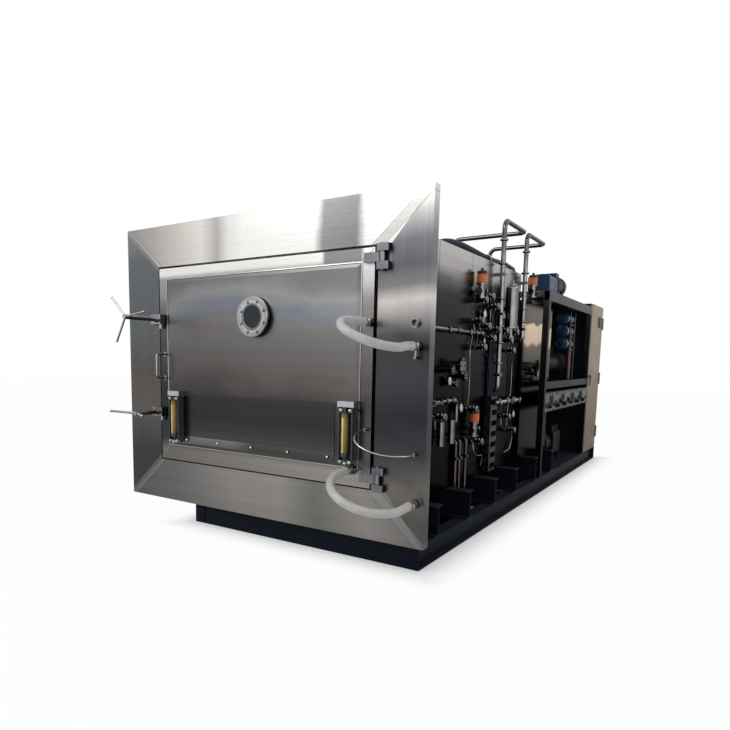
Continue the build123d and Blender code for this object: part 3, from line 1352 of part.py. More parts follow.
def cabinet_shell():
    """Plinth, back, sides, roof and floor, with the mounting plate and its gear inside."""
    t = CABINET_T
    x_open = CAB_X1 - CABINET_DOOR_T - CABINET_DOOR_GAP
    z = (SKID_H, CAB_Z1)
    inner_z = (z[0] + t, z[1] - t)
    inner_y = (CAB_Y0 + t, CAB_Y1 - t)
    solids = [
        block((CAB_X0, x_open), (CAB_Y0, CAB_Y1), (z[1] - t, z[1])),
        block((CAB_X0, x_open), (CAB_Y0, CAB_Y1), (z[0], z[0] + t)),
        block((CAB_X0, x_open), (CAB_Y0, CAB_Y0 + t), inner_z),
        block((CAB_X0, x_open), (CAB_Y1 - t, CAB_Y1), inner_z),
        block((CAB_X0, CAB_X0 + t), inner_y, inner_z),
    ]
    plate_y = (inner_y[0] + 60, inner_y[1] - 60)
    solids.append(block((CAB_X0 + t, CAB_X0 + t + 6), plate_y, (inner_z[0] + 100, inner_z[1] - 100)))
    rail_x = CAB_X0 + t + 6
    for k in range(4):
        z0 = inner_z[0] + 260 + k * 400
        solids.append(block((rail_x, rail_x + 90), (plate_y[0] + 40, plate_y[1] - 40), (z0, z0 + 130)))
    for z0 in (z[0] + 190, z[0] + CABINET_H / 2 - 40, z[1] - 270):
        knuckle = rod("z", (HINGE_LINE_X, HINGE_LINE_Y, z0), 80, CABINET_HINGE_R)
        strap = block((x_open - 1, HINGE_LINE_X), (CAB_Y1, CAB_Y1 + 3), (z0, z0 + 80))
        web = block((HINGE_LINE_X - 3, HINGE_LINE_X + 3), (HINGE_LINE_Y, CAB_Y1 + 3), (z0, z0 + 80))
        solids.append(knuckle + strap + web)
    return solids


def cabinet_door():
    """A folded door on the cabinet's right side, with a louvred vent near its top."""
    y = (CAB_Y0 + 4, CAB_Y1 - 4)
    z = (SKID_H + 4, CAB_Z1 - 4)
    x = (CAB_X1 - CABINET_DOOR_T, CAB_X1)
    panel = block(x, y, z) - block((x[0] - 1, x[1] - 2), (y[0] + 2, y[1] - 2), (z[0] + 2, z[1] - 2))
    vent_y, vent_z = (y[1] - 96, y[1] - 40), (z[1] - 290, z[1] - 130)
    louvres = 7
    for i in range(louvres):
        z0 = vent_z[0] + (i + 0.25) * (vent_z[1] - vent_z[0]) / louvres
        panel -= block((x[0] - 1, x[1] + 1), vent_y, (z0, z0 + 10))
    for z0 in (SKID_H + 190, SKID_H + CABINET_H / 2 - 40, CAB_Z1 - 270):
        for low, high in ((z0 - 41, z0 - 1), (z0 + 81, z0 + 121)):
            eye = rod("z", (HINGE_LINE_X, HINGE_LINE_Y, low), high - low, CABINET_HINGE_R)
            tie = block((CAB_X1 - 1, HINGE_LINE_X), (HINGE_LINE_Y - 5, HINGE_LINE_Y + 5), (low, high))
            panel += eye + tie
    boss_y, boss_z = CAB_Y0 + 60, SKID_H + CABINET_H * 0.52
    panel += rod("x", (CAB_X1 - 2, boss_y, boss_z), 10, 24, 9.06)
    panel -= rod("x", (CAB_X1 - 3, boss_y, boss_z), 12, 9.06)
    return [panel]


def cabinet_handle():
    """The cabinet's turning handle: a stem through the door, a grip and an inner latch."""
    y, z = CAB_Y0 + 60, SKID_H + CABINET_H * 0.52
    stem = rod("x", (CAB_X1 - 14, y, z), 30, 9)
    grip = block((CAB_X1 + 14, CAB_X1 + 28), (y - 12, y + 12), (z - 130, z + 14))
    grip = fillet(grip.edges().filter_by(Axis.X), 8)
    return [stem + grip]


# ------------------------------------------------------------------ write every node
NODES = {
    "skid_frame": skid_frame, "bolsters": bolsters,
    "facade_top": facade_top, "facade_bottom": facade_bottom,
    "facade_left": facade_left, "facade_right": facade_right,
    "chamber_vessel": chamber_vessel, "chamber_ribs": chamber_ribs,
    "chamber_cladding": chamber_cladding, "door_gasket": door_gasket,
    "shelf_rack": shelf_rack,
    "condenser_vessel": condenser_vessel, "condenser_cladding": condenser_cladding,
    "condenser_coil": condenser_coil, "isolation_valve": isolation_valve,
    "valve_plate": valve_plate,
    "machine_frame": machine_frame, "cable_trays": cable_trays,
    "compressor_a": compressor_a, "compressor_b": compressor_b, "vacuum_pump": vacuum_pump,
    "refrigerant_receiver": refrigerant_receiver, "brine_tank": brine_tank,
    "booster_motor": booster_motor, "roots_booster": roots_booster,
    "cooling_pipes": cooling_pipes,
    "cabinet_shell": cabinet_shell, "cabinet_door": cabinet_door,
    "cabinet_handle": cabinet_handle,
    "process_pipes": process_pipes,
    "valve_bodies": valve_bodies, "valve_actuators": valve_actuators,
    "filter_housing": filter_housing, "port_clusters": port_clusters, "valve_lever": valve_lever,
    "hinge_blocks": hinge_blocks, "clamp_keepers": clamp_keepers,
    "facade_fittings": facade_fittings,
    "door_leaf": door_leaf, "door_panel": door_panel, "bottom_strip": bottom_strip,
    "lower_cover": lower_cover, "sight_flange": sight_flange, "sight_glass": sight_glass,
    "gauge_brackets": gauge_brackets, "gauge_tubes": gauge_tubes,
    "pull_handle": pull_handle, "hinge_arms": hinge_arms, "clamp_blocks": clamp_blocks,
    "door_fittings": door_fittings,
    "star_handle": star_handle, "lever_handle": lever_handle,
    "upper_hose": upper_hose, "lower_hose": lower_hose, "capillary_tube": capillary_tube,
}


def main():
    os.makedirs("parts", exist_ok=True)
    for name, make in NODES.items():
        export_step(Compound(children=make()), f"parts/{name}.step")
    for i in range(SHELVES):
        export_step(Compound(children=shelf(i)), f"parts/shelf_{i + 1}.step")


main()
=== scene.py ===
# %% [markdown]
# # An industrial freeze dryer, dressed for the camera
# The machine is a steel vacuum chamber behind a wide wall panel, with one large hinged door, a condenser
# behind it, a bay of pumps and a control cabinet, all on one skid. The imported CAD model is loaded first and
# stays as it is. Everything here only gives it finishes and small parts.

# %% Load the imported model
import json
import math
import bpy
from mathutils import Matrix, Vector

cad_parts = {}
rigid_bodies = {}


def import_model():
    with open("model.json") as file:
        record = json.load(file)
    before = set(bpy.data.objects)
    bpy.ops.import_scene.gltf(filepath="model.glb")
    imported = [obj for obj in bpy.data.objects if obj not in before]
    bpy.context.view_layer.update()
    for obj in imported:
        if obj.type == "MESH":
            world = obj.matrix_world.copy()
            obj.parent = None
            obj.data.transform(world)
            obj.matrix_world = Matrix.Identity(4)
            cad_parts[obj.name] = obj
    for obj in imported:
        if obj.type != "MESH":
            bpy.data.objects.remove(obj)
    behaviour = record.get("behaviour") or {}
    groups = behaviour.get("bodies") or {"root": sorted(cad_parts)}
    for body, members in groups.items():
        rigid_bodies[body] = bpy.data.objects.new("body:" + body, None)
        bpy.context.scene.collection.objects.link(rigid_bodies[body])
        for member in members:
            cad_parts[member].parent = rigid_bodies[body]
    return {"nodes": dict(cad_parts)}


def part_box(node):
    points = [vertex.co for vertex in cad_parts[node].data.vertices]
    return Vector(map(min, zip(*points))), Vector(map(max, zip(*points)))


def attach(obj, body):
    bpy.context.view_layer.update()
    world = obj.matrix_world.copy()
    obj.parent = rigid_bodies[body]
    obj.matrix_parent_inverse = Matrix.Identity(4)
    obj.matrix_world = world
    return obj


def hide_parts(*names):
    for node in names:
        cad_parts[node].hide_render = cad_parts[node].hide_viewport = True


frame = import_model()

in_scene = bpy.context.scene.collection.objects
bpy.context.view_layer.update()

# %% [markdown]
# ## The camera
# The machine is seen from its right front corner, from about the height of the door's middle. Lens shift
# keeps the machine in the middle of the frame while the camera looks slightly down and past it.

# %% Place the camera
CAMERA_PLACE = (2.6244, -6.4236, 1.3641)
TURN_LEFT, LOOK_DOWN, ROLL = 33.88, 6.957, 0.846
camera_data = bpy.data.cameras.new("studio_camera")
camera_data.sensor_width, camera_data.lens, camera_data.clip_end = 36, 29.714, 200
camera_data.shift_x, camera_data.shift_y = 0.0528, 0.0929
camera = bpy.data.objects.new("studio_camera", camera_data)
in_scene.link(camera)
camera.matrix_world = (
    Matrix.Translation(CAMERA_PLACE)
    @ Matrix.Rotation(math.radians(TURN_LEFT), 4, "Z")
    @ Matrix.Rotation(math.radians(90 - LOOK_DOWN), 4, "X")
    @ Matrix.Rotation(math.radians(ROLL), 4, "Z")
)
bpy.context.scene.camera = camera
bpy.context.scene.view_settings.view_transform = "Standard"
print("Camera at", [round(v, 3) for v in camera.location], "with a", camera_data.lens, "mm lens")

# %% [markdown]
# ## The three hoses at the door
# Two thick silicone hoses carry heating fluid to the door, and a thin capillary tube feeds a gauge. Each
# leaves the door straight out, loops to the right in front of the hinge and goes back into the wall panel,
# so the door can swing without pulling on them. A NURBS spline led by a few control points gives a hose
# its smooth line, because it bends gently everywhere, as rubber does. The loop's points are worked out from
# its ends, how far it stands out, and how much it leans and sags. Each point carries the hose's radius,
# because Blender measures a curve's box with it.

# %% Where the hoses start and end, and how their loops lie
FRONT = -2.994
DOOR_ENDS = {"upper": (0.655, 1.604), "lower": (0.536, 0.628), "capillary": (0.641, 0.907)}
WALL_ENDS = {"upper": (0.996, 1.452), "lower": (1.004, 0.458), "capillary": (1.001, 0.776)}
LOOPS = {
    "upper": (0.062, 0.099, 0.04, 12.5, 0.035, 0.02),
    "lower": (0.062, 0.07, 0.028, 0, 0.029, 0.043),
    "capillary": (0.034, 0.071, 0.054, -29, 0.052, 0.025),
}
LOOP_CORNERS = 7
HOSE_WIDTHS = {"upper": 0.054, "lower": 0.056, "capillary": 0.011}


def loop_points(name):
    """The control points of one hose, from its fitting on the door to its fitting on the wall panel."""
    (x0, z0), (x1, z1) = DOOR_ENDS[name], WALL_ENDS[name]
    out, first, second, spread, lean, sag = LOOPS[name]
    half, side = math.hypot(x1 - x0, z1 - z0) / 2, math.radians(spread)
    radius = (half + second * math.sin(side)) / math.cos(side)
    centre = first + second * math.cos(side) + radius * math.sin(side)
    step = (math.pi + 2 * side) / LOOP_CORNERS
    reach = radius / math.cos(step / 2)
    corners = [(0, 0), (0, first)]
    for k in range(LOOP_CORNERS):
        angle = step * (k + 0.5) - side
        corners.append((half - reach * math.cos(angle), centre + reach * math.sin(angle)))
    corners += [(2 * half, first), (2 * half, 0)]
    points = []
    for along, away in corners:
        share = along / (2 * half)
        far = max(0, (away - first) / (centre + radius - first))
        x = x0 + (x1 - x0) * share - lean * far
        z = z0 + (z1 - z0) * share - sag * far
        points.append((x, FRONT - out - away, z))
    return points


# %% A smooth round line
def nurbs_line(name, points, steps, rounding, depth, radius=1):
    """A NURBS curve with a round section. Its depth times its points' radius is half its width."""
    line = bpy.data.curves.new(name, "CURVE")
    line.dimensions, line.resolution_u, line.use_fill_caps = "3D", steps, True
    line.bevel_depth, line.bevel_resolution = depth, rounding
    spline = line.splines.new("NURBS")
    spline.points.add(len(points) - 1)
    for point, place in zip(spline.points, points):
        point.co, point.radius = (*place, 1), radius
    spline.order_u, spline.use_endpoint_u = 3, True
    tube = bpy.data.objects.new(name, line)
    in_scene.link(tube)
    return tube


# %% Draw each hose
hoses = {}
for name in HOSE_WIDTHS:
    route = loop_points(name)
    piece_name = "capillary_line" if name == "capillary" else name + "_silicone_hose"
    hoses[name] = nurbs_line(piece_name, route, 24, 8, 1, HOSE_WIDTHS[name] / 2)
    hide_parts("capillary_tube" if name == "capillary" else name + "_hose")
    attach(hoses[name], "base")
    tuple(route[0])
    print(name, "leaves the door at", [round(v, 3) for v in route[0]], "with", len(route), "control points")

# %% [markdown]
# ## Writing light and finishes as sums
# The sky and every finish are small networks of nodes. Wiring nodes one by one hides the idea, so a `Value`
# wraps a socket and lets the sums be written as ordinary Python, a `Network` adds and wires any node in one
# line, and a `Finish` is the network of a material.


# %% The helper for shader sums
def operator(kind, swapped=False):
    """What an arithmetic sign does to a value: it adds a node with the sum."""
    def apply(self, other=0.0):
        first, second = (other, self) if swapped else (self, other)
        return self.network.math(kind, first, second)
    return apply


class Value:
    """One output socket of a network, which can be added, multiplied and compared."""

    def __init__(self, network, socket):
        self.network, self.socket = network, socket

    __add__ = __radd__ = operator("ADD")
    __sub__, __rsub__ = operator("SUBTRACT"), operator("SUBTRACT", swapped=True)
    __mul__ = __rmul__ = operator("MULTIPLY")
    __truediv__ = operator("DIVIDE")
    __lt__, __gt__ = operator("LESS_THAN"), operator("GREATER_THAN")
    __abs__ = operator("ABSOLUTE")


class Network:
    """A tree of shader nodes."""

    def __init__(self, tree):
        self.tree = tree

    def node(self, kind, settings=None, inputs=(), output=0):
        """Adds a shader node. Stops are the (position, red, green, blue) of a colour ramp."""
        made = self.tree.nodes.new("ShaderNode" + kind)
        for key, value in (settings or {}).items():
            if key == "stops":
                ramp = made.color_ramp.elements
                while len(ramp) < len(value):
                    ramp.new(0.5)
                for stop, (position, *colour) in zip(ramp, value):
                    stop.position, stop.color = position, (*colour, 1)
            else:
                setattr(made, key, value)
        pairs = inputs.items() if isinstance(inputs, dict) else enumerate(inputs)
        for key, value in pairs:
            if isinstance(value, Value):
                self.tree.links.new(value.socket, made.inputs[key])
            else:
                made.inputs[key].default_value = value
        return Value(self, made.outputs[output])

    def math(self, operation, *values):
        return self.node("Math", {"operation": operation}, values)

    def show(self, share, first, second, where):
        """Sends a mix of two shaders to the output node."""
        mixed = self.node("MixShader", inputs=(share, first, second))
        self.tree.links.new(mixed.socket, where.inputs["Surface"])


class Finish(Network):
    """A material in the making. Its place is the point on the machine in metres."""

    def __init__(self, name, **constants):
        self.material = bpy.data.materials.new(name)
        self.material.use_nodes = True
        super().__init__(self.material.node_tree)
        self.shader = self.tree.nodes["Principled BSDF"]
        self.place = self.node("TexCoord", output="Object")
        for socket, value in constants.items():
            self.shader.inputs[socket.replace("_", " ")].default_value = value

    def feed(self, socket, value):
        self.tree.links.new(value.socket, self.shader.inputs[socket])

    def fed_colour(self):
        """The base colour as it is so far."""
        return Value(self, self.shader.inputs["Base Color"].links[0].from_socket)

    def normal(self):
        return self.node("NewGeometry", output="Normal")

    def axes(self):
        """The place's three coordinates."""
        split = self.node("SeparateXYZ", inputs=(self.place,))
        return [Value(self, split.socket.node.outputs[k]) for k in range(3)]

    def noise(self, stretch, detail=2.0, rough=0.5):
        """Noise with its own number of features in a metre along each axis."""
        spot = self.node("VectorMath", {"operation": "MULTIPLY"}, (self.place, stretch))
        looks = {"Vector": spot, "Scale": 1.0, "Detail": detail, "Roughness": rough}
        return self.node("TexNoise", inputs=looks)

    def spread(self, value, low, high, to_low=0.0, to_high=1.0, smooth=False):
        """Maps the stretch from low to high onto another one, and holds its ends beyond it."""
        kind = {"interpolation_type": "SMOOTHSTEP" if smooth else "LINEAR"}
        return self.node("MapRange", kind, (value, low, high, to_low, to_high))

    def mix(self, share, first, second, how="MIX"):
        first, second = [v if isinstance(v, Value) else (*v, 1) for v in (first, second)]
        settings = {"data_type": "RGBA", "blend_type": how}
        return self.node("Mix", settings, {0: share, 6: first, 7: second}, output=2)

    def multiply(self, first, second):
        """A colour times another colour or times a number."""
        if isinstance(second, Value) and second.socket.type == "VALUE":
            second = self.node("CombineColor", inputs=(second, second, second))
        return self.mix(1.0, first, second, "MULTIPLY")

    def bump(self, height, distance, strength=1.0):
        relief = {"Height": height, "Distance": distance, "Strength": strength}
        self.feed("Normal", self.node("Bump", inputs=relief))

# %% [markdown]
# ## The studio
# Polished steel shows what surrounds it, so the backdrop is white for the camera and for reflections too,
# and a soft grey sky lights the painted and rubber parts. Two large soft lamps model the shapes.
# The floor keeps the machine's shadow, so that it stands on something.

# %% A white backdrop with a softer sky behind it
world = bpy.data.worlds.new("studio_world")
world.use_nodes = True
bpy.context.scene.world = world
world.node_tree.nodes.clear()
sky = Network(world.node_tree)
seen = sky.node("LightPath", output="Is Camera Ray")
for ray in ("Is Glossy Ray", "Is Transmission Ray"):
    seen = sky.math("MAXIMUM", seen, sky.node("LightPath", output=ray))
soft_light = sky.node("Background", inputs={"Color": (0.92, 0.95, 1, 1), "Strength": 0.5})
backdrop_light = sky.node("Background", inputs={"Color": (1, 1, 1, 1), "Strength": 1})
sky.show(seen, soft_light, backdrop_light, sky.tree.nodes.new("ShaderNodeOutputWorld"))


# %% Two soft lamps
def soft_lamp(name, place, target, size, power):
    """A large square lamp that looks at a point."""
    data = bpy.data.lights.new(name, "AREA")
    data.size, data.energy = size, power
    lamp = bpy.data.objects.new(name, data)
    in_scene.link(lamp)
    lamp.location = place
    lamp.rotation_euler = (Vector(target) - Vector(place)).to_track_quat("-Z", "Y").to_euler()
    print(name, "at", place, power, "W")


soft_lamp("front_lamp", (-2.5, -8.5, 6.5), (0, -1.5, 1.0), 4.5, 260)
soft_lamp("side_lamp", (7.5, -1.5, 6.0), (0, 0, 1.0), 4.0, 60)

# %% [markdown]
# ## Dressing the model
# The model's own pieces keep their shape. Each only gets a finish in place of its plain material.


# %% Put a finish on pieces of the model
def dress(finish, *nodes):
    """Gives CAD nodes a finish in place of their plain material."""
    for node in nodes:
        mesh = frame["nodes"][node].data
        for slot in range(max(1, len(mesh.materials))):
            if mesh.materials:
                mesh.materials[slot] = finish.material
            else:
                mesh.materials.append(finish.material)
    print(finish.material.name, "on", ", ".join(nodes))


# %% [markdown]
# ## Brushed stainless sheet
# Most of what shows is stainless sheet, brushed along its length. Brushing leaves fine parallel scratches,
# so the metal is streaked along one direction and clear across it, which is noise stretched a great deal
# along one axis. The sheets carry a painted reflection of the hall: darker towards the floor and pale near
# the ceiling, in soft clouds, which a ramp over the height gives, warped by large slow noise. The same noise
# makes the sheet rougher or smoother where it was wiped.


# %% A brushed sheet
def brushed_sheet(name, low, high, tones, grain=(0.7, 60, 160), warp=(1.2, 1.2, 1.2), bend=0.1,
        roughness=0.3, streak=0.22, across=False, seams=(), edge=1.0):
    """Brushed steel with a painted reflection whose tones run over the height from low to high, or across
    from left to right. Seams are where it has dark joints, and edge is how bright it looks at a shallow
    angle."""
    finish = Finish(name, Metallic=1.0, Specular_Tint=(edge, edge, edge, 1))
    x, y, z = finish.axes()
    cloud = finish.noise(warp, 3.0, 0.55)
    level = ((x if across else z) - low) / (high - low) + (cloud - 0.5) * bend
    tone = finish.node("ValToRGB", {"stops": tones}, (level,))
    fine = finish.noise(grain, 3.0, 0.6)
    coarse = finish.noise(tuple(0.09 * g if g > 20 else 0.5 * g for g in grain), 2.0, 0.5)
    streaks = 1.0 + (fine - 0.5) * streak + (coarse - 0.5) * (1.6 * streak)
    colour = finish.multiply(tone, streaks)
    for seam in seams:
        groove = finish.spread(abs(y - seam), 0.002, 0.006, 1.0, 0.0)
        colour = finish.mix(groove * 0.75, colour, (0.01, 0.01, 0.01))
    finish.rough = roughness + (fine - 0.5) * 0.16 + (cloud - 0.5) * 0.1
    finish.colour = colour
    finish.bump(fine, 0.0004, 0.35)
    finish.feed("Base Color", colour)
    finish.feed("Roughness", finish.rough)
    return finish


# %% [markdown]
# ## Wall panel
# Four trapezoids of sheet are welded along their mitres, and each weld is ground flat in a bright band. The
# band is drawn by the finish: the distance from a point to the line between the outer and the inner corner
# is small there, so that is where the metal is brighter and smoother.

# %% Panel corners and the welded mitres
left_edge, _, bottom_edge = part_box("facade_left")[0]
right_edge, _, top_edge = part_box("facade_right")[1]
INNER_LEFT, INNER_RIGHT, INNER_LOW, INNER_HIGH = -1.362, 0.7, 0.504, 2.092
MITRES = [((x, z), (inner_x, inner_z)) for z, inner_z in ((top_edge, INNER_HIGH),
    (bottom_edge, INNER_LOW)) for x, inner_x in ((left_edge, INNER_LEFT), (right_edge, INNER_RIGHT))]
print("Wall panel from", round(left_edge, 3), "to", round(right_edge, 3))


def weld_bands(finish, first, second, half_width=0.03):
    """Adds the two ground weld bands of a sheet to its colour and roughness."""
    x, y, z = finish.axes()
    nearest = None
    for (x0, z0), (x1, z1) in (MITRES[first], MITRES[second]):
        long = math.hypot(x1 - x0, z1 - z0)
        away = abs((x - x0) * ((z1 - z0) / long) - (z - z0) * ((x1 - x0) / long))
        nearest = away if nearest is None else finish.math("MINIMUM", nearest, away)
    band = finish.spread(nearest, half_width, half_width + 0.005, 1.0, 0.0, smooth=True)
    edge = finish.spread(abs(nearest - (half_width + 0.003)), 0.0, 0.005, 1.0, 0.0)
    brighter = finish.mix(band * 0.24, finish.colour, (0.4, 0.4, 0.39))
    finish.feed("Base Color", finish.mix(edge * 0.4, brighter, (0.03, 0.03, 0.03)))
    finish.feed("Roughness", finish.rough - band * 0.1)
    return finish


# %% The wall panel's four sheets
# Each sheet's ramp of tones is a painted reflection: the bright and dark bands of a hall mirrored in the
# steel.
dress(weld_bands(brushed_sheet("wall_top_sheet", left_edge, right_edge, [(0.0, 0.28, 0.27, 0.26),
    (0.1, 0.38, 0.365, 0.35), (0.22, 0.56, 0.54, 0.495), (0.31, 0.7, 0.68, 0.65), (0.37, 0.42, 0.4, 0.395),
    (0.41, 0.72, 0.7, 0.69), (0.46, 0.8, 0.79, 0.77), (0.69, 0.76, 0.75, 0.73), (0.715, 0.25, 0.245, 0.24),
    (0.81, 0.185, 0.195, 0.2), (0.835, 0.68, 0.67, 0.65), (1.0, 0.68, 0.66, 0.64)], grain=(0.8, 60, 160),
    warp=(0.9, 1, 2.2), bend=0.03, roughness=0.27, streak=0.14, across=True), 0, 1), "facade_top")
dress(weld_bands(brushed_sheet("wall_left_sheet", bottom_edge, top_edge, [(0.0, 0.06, 0.061, 0.06),
    (0.17, 0.056, 0.06, 0.06), (0.32, 0.142, 0.13, 0.118), (0.48, 0.108, 0.099, 0.094),
    (0.63, 0.115, 0.122, 0.12), (0.78, 0.115, 0.124, 0.14), (0.9, 0.125, 0.135, 0.142),
    (1.0, 0.24, 0.24, 0.24)], grain=(120, 60, 1.2), warp=(2.5, 1, 0.8), bend=0.12, streak=0.14), 0, 2),
    "facade_left")
dress(weld_bands(brushed_sheet("wall_right_sheet", bottom_edge, top_edge, [(0.0, 0.12, 0.11, 0.098),
    (0.08, 0.118, 0.11, 0.098), (0.17, 0.2, 0.184, 0.166), (0.26, 0.06, 0.063, 0.066),
    (0.37, 0.036, 0.038, 0.043), (0.48, 0.066, 0.062, 0.07), (0.56, 0.062, 0.058, 0.062),
    (0.6, 0.1, 0.096, 0.098), (0.64, 0.27, 0.26, 0.26), (0.695, 0.56, 0.535, 0.51),
    (0.735, 0.2, 0.195, 0.205), (0.79, 0.115, 0.113, 0.122), (0.86, 0.145, 0.152, 0.165),
    (0.93, 0.36, 0.355, 0.35), (1.0, 0.74, 0.72, 0.69)], grain=(120, 60, 1.2), warp=(1.2, 1, 0.8),
    bend=0.045, streak=0.14), 1, 3), "facade_right")
dress(weld_bands(brushed_sheet("wall_bottom_sheet", left_edge, right_edge,
    [(0.0, 0.13, 0.125, 0.12), (0.2, 0.17, 0.165, 0.155), (0.42, 0.29, 0.272, 0.255),
    (0.6, 0.32, 0.3, 0.275), (0.72, 0.19, 0.187, 0.17), (0.86, 0.31, 0.29, 0.27), (1.0, 0.19, 0.182, 0.17)],
    grain=(0.8, 60, 160), warp=(1.0, 1, 1.5), bend=0.12, across=True), 2, 3), "facade_bottom")

# %% [markdown]
# ## Door and covers
# The door is brushed across. Its middle shows soft horizontal bands of painted reflection, paler at the
# height of the sight glass and darker below, and its rim has the tone of the wall panel round it, which is a
# painted reflection too. The lower cover and the strip under it carry painted reflections as well.

# %% Door sheets
(_, _, door_low), (_, _, door_high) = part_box("door_panel")
panel_sheet = brushed_sheet("door_panel_sheet", door_low, door_high, [(0.0, 0.09, 0.086, 0.08),
    (0.08, 0.052, 0.05, 0.048), (0.17, 0.04, 0.037, 0.036), (0.3, 0.054, 0.05, 0.05),
    (0.37, 0.085, 0.077, 0.074), (0.47, 0.13, 0.115, 0.109), (0.58, 0.135, 0.133, 0.14),
    (0.69, 0.17, 0.158, 0.152), (0.79, 0.17, 0.185, 0.215), (0.875, 0.245, 0.24, 0.238),
    (0.94, 0.165, 0.165, 0.17), (1.0, 0.15, 0.148, 0.15)], grain=(0.7, 60, 180), warp=(0.9, 1, 1.6),
    bend=0.42, roughness=0.32, streak=0.16)
# Painted reflection: the door panel is brighter towards the hinge.
toward_hinge = panel_sheet.spread(panel_sheet.axes()[0], -1.2, 0.5, 0.95, 1.25)
panel_sheet.feed("Base Color", panel_sheet.multiply(panel_sheet.colour, toward_hinge))
dress(panel_sheet, "door_panel")
leaf_sheet = brushed_sheet("door_leaf_sheet", door_low - 0.123, door_high + 0.087,
    [(0.0, 0.18, 0.168, 0.152), (0.06, 0.19, 0.178, 0.162), (0.11, 0.06, 0.058, 0.055),
    (0.36, 0.046, 0.045, 0.046), (0.52, 0.075, 0.07, 0.068), (0.7, 0.105, 0.098, 0.092),
    (0.8, 0.17, 0.158, 0.156), (0.87, 0.3, 0.285, 0.28), (0.945, 0.34, 0.33, 0.32),
    (0.965, 0.78, 0.76, 0.73), (1.0, 0.8, 0.785, 0.755)], grain=(0.7, 60, 180), warp=(0.7, 1, 1.2),
    bend=0.025, roughness=0.28, streak=0.16)
leaf_x, _, leaf_z = leaf_sheet.axes()
# Painted reflections on the rim: brighter towards the hinge, and a grey painted reflection of a post along
# its top edge.
rim_light = leaf_sheet.spread(leaf_x, -1.3, 0.68, 0.95, 1.9)
top_rim = leaf_sheet.spread(leaf_z, door_high, door_high + 0.01)
mirrored_post = leaf_sheet.spread(abs(leaf_x - 0.43), 0.14, 0.17, 1.0, 0.0)
leaf_tone = leaf_sheet.mix(top_rim, leaf_sheet.multiply(leaf_sheet.colour, rim_light), leaf_sheet.colour)
leaf_sheet.feed("Base Color", leaf_sheet.mix(top_rim * mirrored_post * 0.9, leaf_tone, (0.17, 0.178, 0.18)))
dress(leaf_sheet, "door_leaf")
dress(brushed_sheet("cover_sheet", 0.726, 1.071, [(0.0, 0.075, 0.074, 0.072), (0.5, 0.042, 0.041, 0.04),
    (1.0, 0.058, 0.055, 0.052)], warp=(1.0, 1, 2.0), bend=0.3, roughness=0.3), "lower_cover")
strip_sheet = brushed_sheet("strip_sheet", 0.667, 0.726, [(0.0, 0.16, 0.155, 0.145),
    (1.0, 0.24, 0.235, 0.22)], warp=(1.6, 1, 2.0), bend=0.8, roughness=0.25)
strip_x, strip_y, _ = strip_sheet.axes()
# A painted highlight on the dome tops, and painted shade that darkens the strip towards its right end.
dome_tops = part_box("bottom_strip")[0][1]
dome_highlight = strip_sheet.spread(strip_y, dome_tops + 0.003, dome_tops + 0.004, 1.0, 0.0)
strip_shade = strip_sheet.spread(strip_x, -0.6, -0.3, 1.0, 0.42, smooth=True)
strip_tone = strip_sheet.multiply(strip_sheet.colour, strip_shade)
strip_sheet.feed("Base Color", strip_sheet.mix(dome_highlight, strip_tone, (0.74, 0.74, 0.74)))
dress(strip_sheet, "bottom_strip")

# %% [markdown]
# ## Cladding on the sides
# Behind the wall panel the chamber and the condenser wear plain satin cladding. Its top edge catches the
# ceiling and the rest is in the dark between two machines, so it goes from pale to nearly black within half
# a metre.

# %% Cladding sheets
# The ramps paint this light into the colour: a pale painted reflection of the ceiling along the top, painted
# shade below it, and on the condenser a warm band of painted reflection.
dress(brushed_sheet("chamber_cladding_sheet", 0.379, 2.217, [(0.0, 0.01, 0.012, 0.015),
    (0.16, 0.011, 0.013, 0.015), (0.37, 0.015, 0.016, 0.019), (0.58, 0.02, 0.02, 0.023),
    (0.72, 0.036, 0.034, 0.033), (0.81, 0.048, 0.046, 0.042), (0.865, 0.14, 0.14, 0.15),
    (0.92, 0.46, 0.44, 0.43), (1.0, 0.54, 0.53, 0.52)], grain=(90, 0.7, 200), warp=(1, 0.8, 1.4), bend=0.16,
    roughness=0.22, edge=0.52, seams=(-2.335, -1.68, -1.025)), "chamber_cladding")
dress(brushed_sheet("condenser_cladding_sheet", 0.4, 1.965, [(0.0, 0.006, 0.008, 0.01),
    (0.26, 0.008, 0.009, 0.011), (0.45, 0.022, 0.021, 0.019), (0.6, 0.055, 0.05, 0.045),
    (0.72, 0.16, 0.135, 0.108), (0.75, 0.86, 0.64, 0.46), (0.862, 0.98, 0.76, 0.57),
    (0.872, 0.15, 0.135, 0.12), (0.94, 0.19, 0.175, 0.16), (1.0, 0.12, 0.11, 0.105)], grain=(90, 0.7, 200),
    warp=(2, 4.5, 1.2), bend=0.1, roughness=0.2, streak=0.1, edge=0.52, seams=(0.235,)),
    "condenser_cladding")
# The tank's tone is a painted reflection too, dark at 1.2 m and pale at 2 m.
dress(brushed_sheet("tank_sheet", 1.2, 2.0, [(0.0, 0.14, 0.14, 0.14), (1.0, 0.45, 0.45, 0.45)],
    grain=(90, 1, 200), bend=0.3), "brine_tank", "cooling_pipes")

# %% [markdown]
# ## Polished fittings
# Pipes, valves, clamps and handles are polished stainless. Polished metal is nearly a mirror, so what makes
# it look real is what it mirrors, and small changes in roughness from fingers and wiping.


# %% Polished and machined steel
# The direction of the brightest window, and how bright the hall is for a surface that faces it less or
# more.
WINDOW = (0.36, -0.56, 0.745)
MIRRORED = [(0.0, 0.05), (0.3, 0.1), (0.55, 0.28), (0.66, 0.16), (0.73, 0.5), (0.79, 0.66), (0.845, 1.0),
    (0.9, 0.42), (1.0, 0.8)]


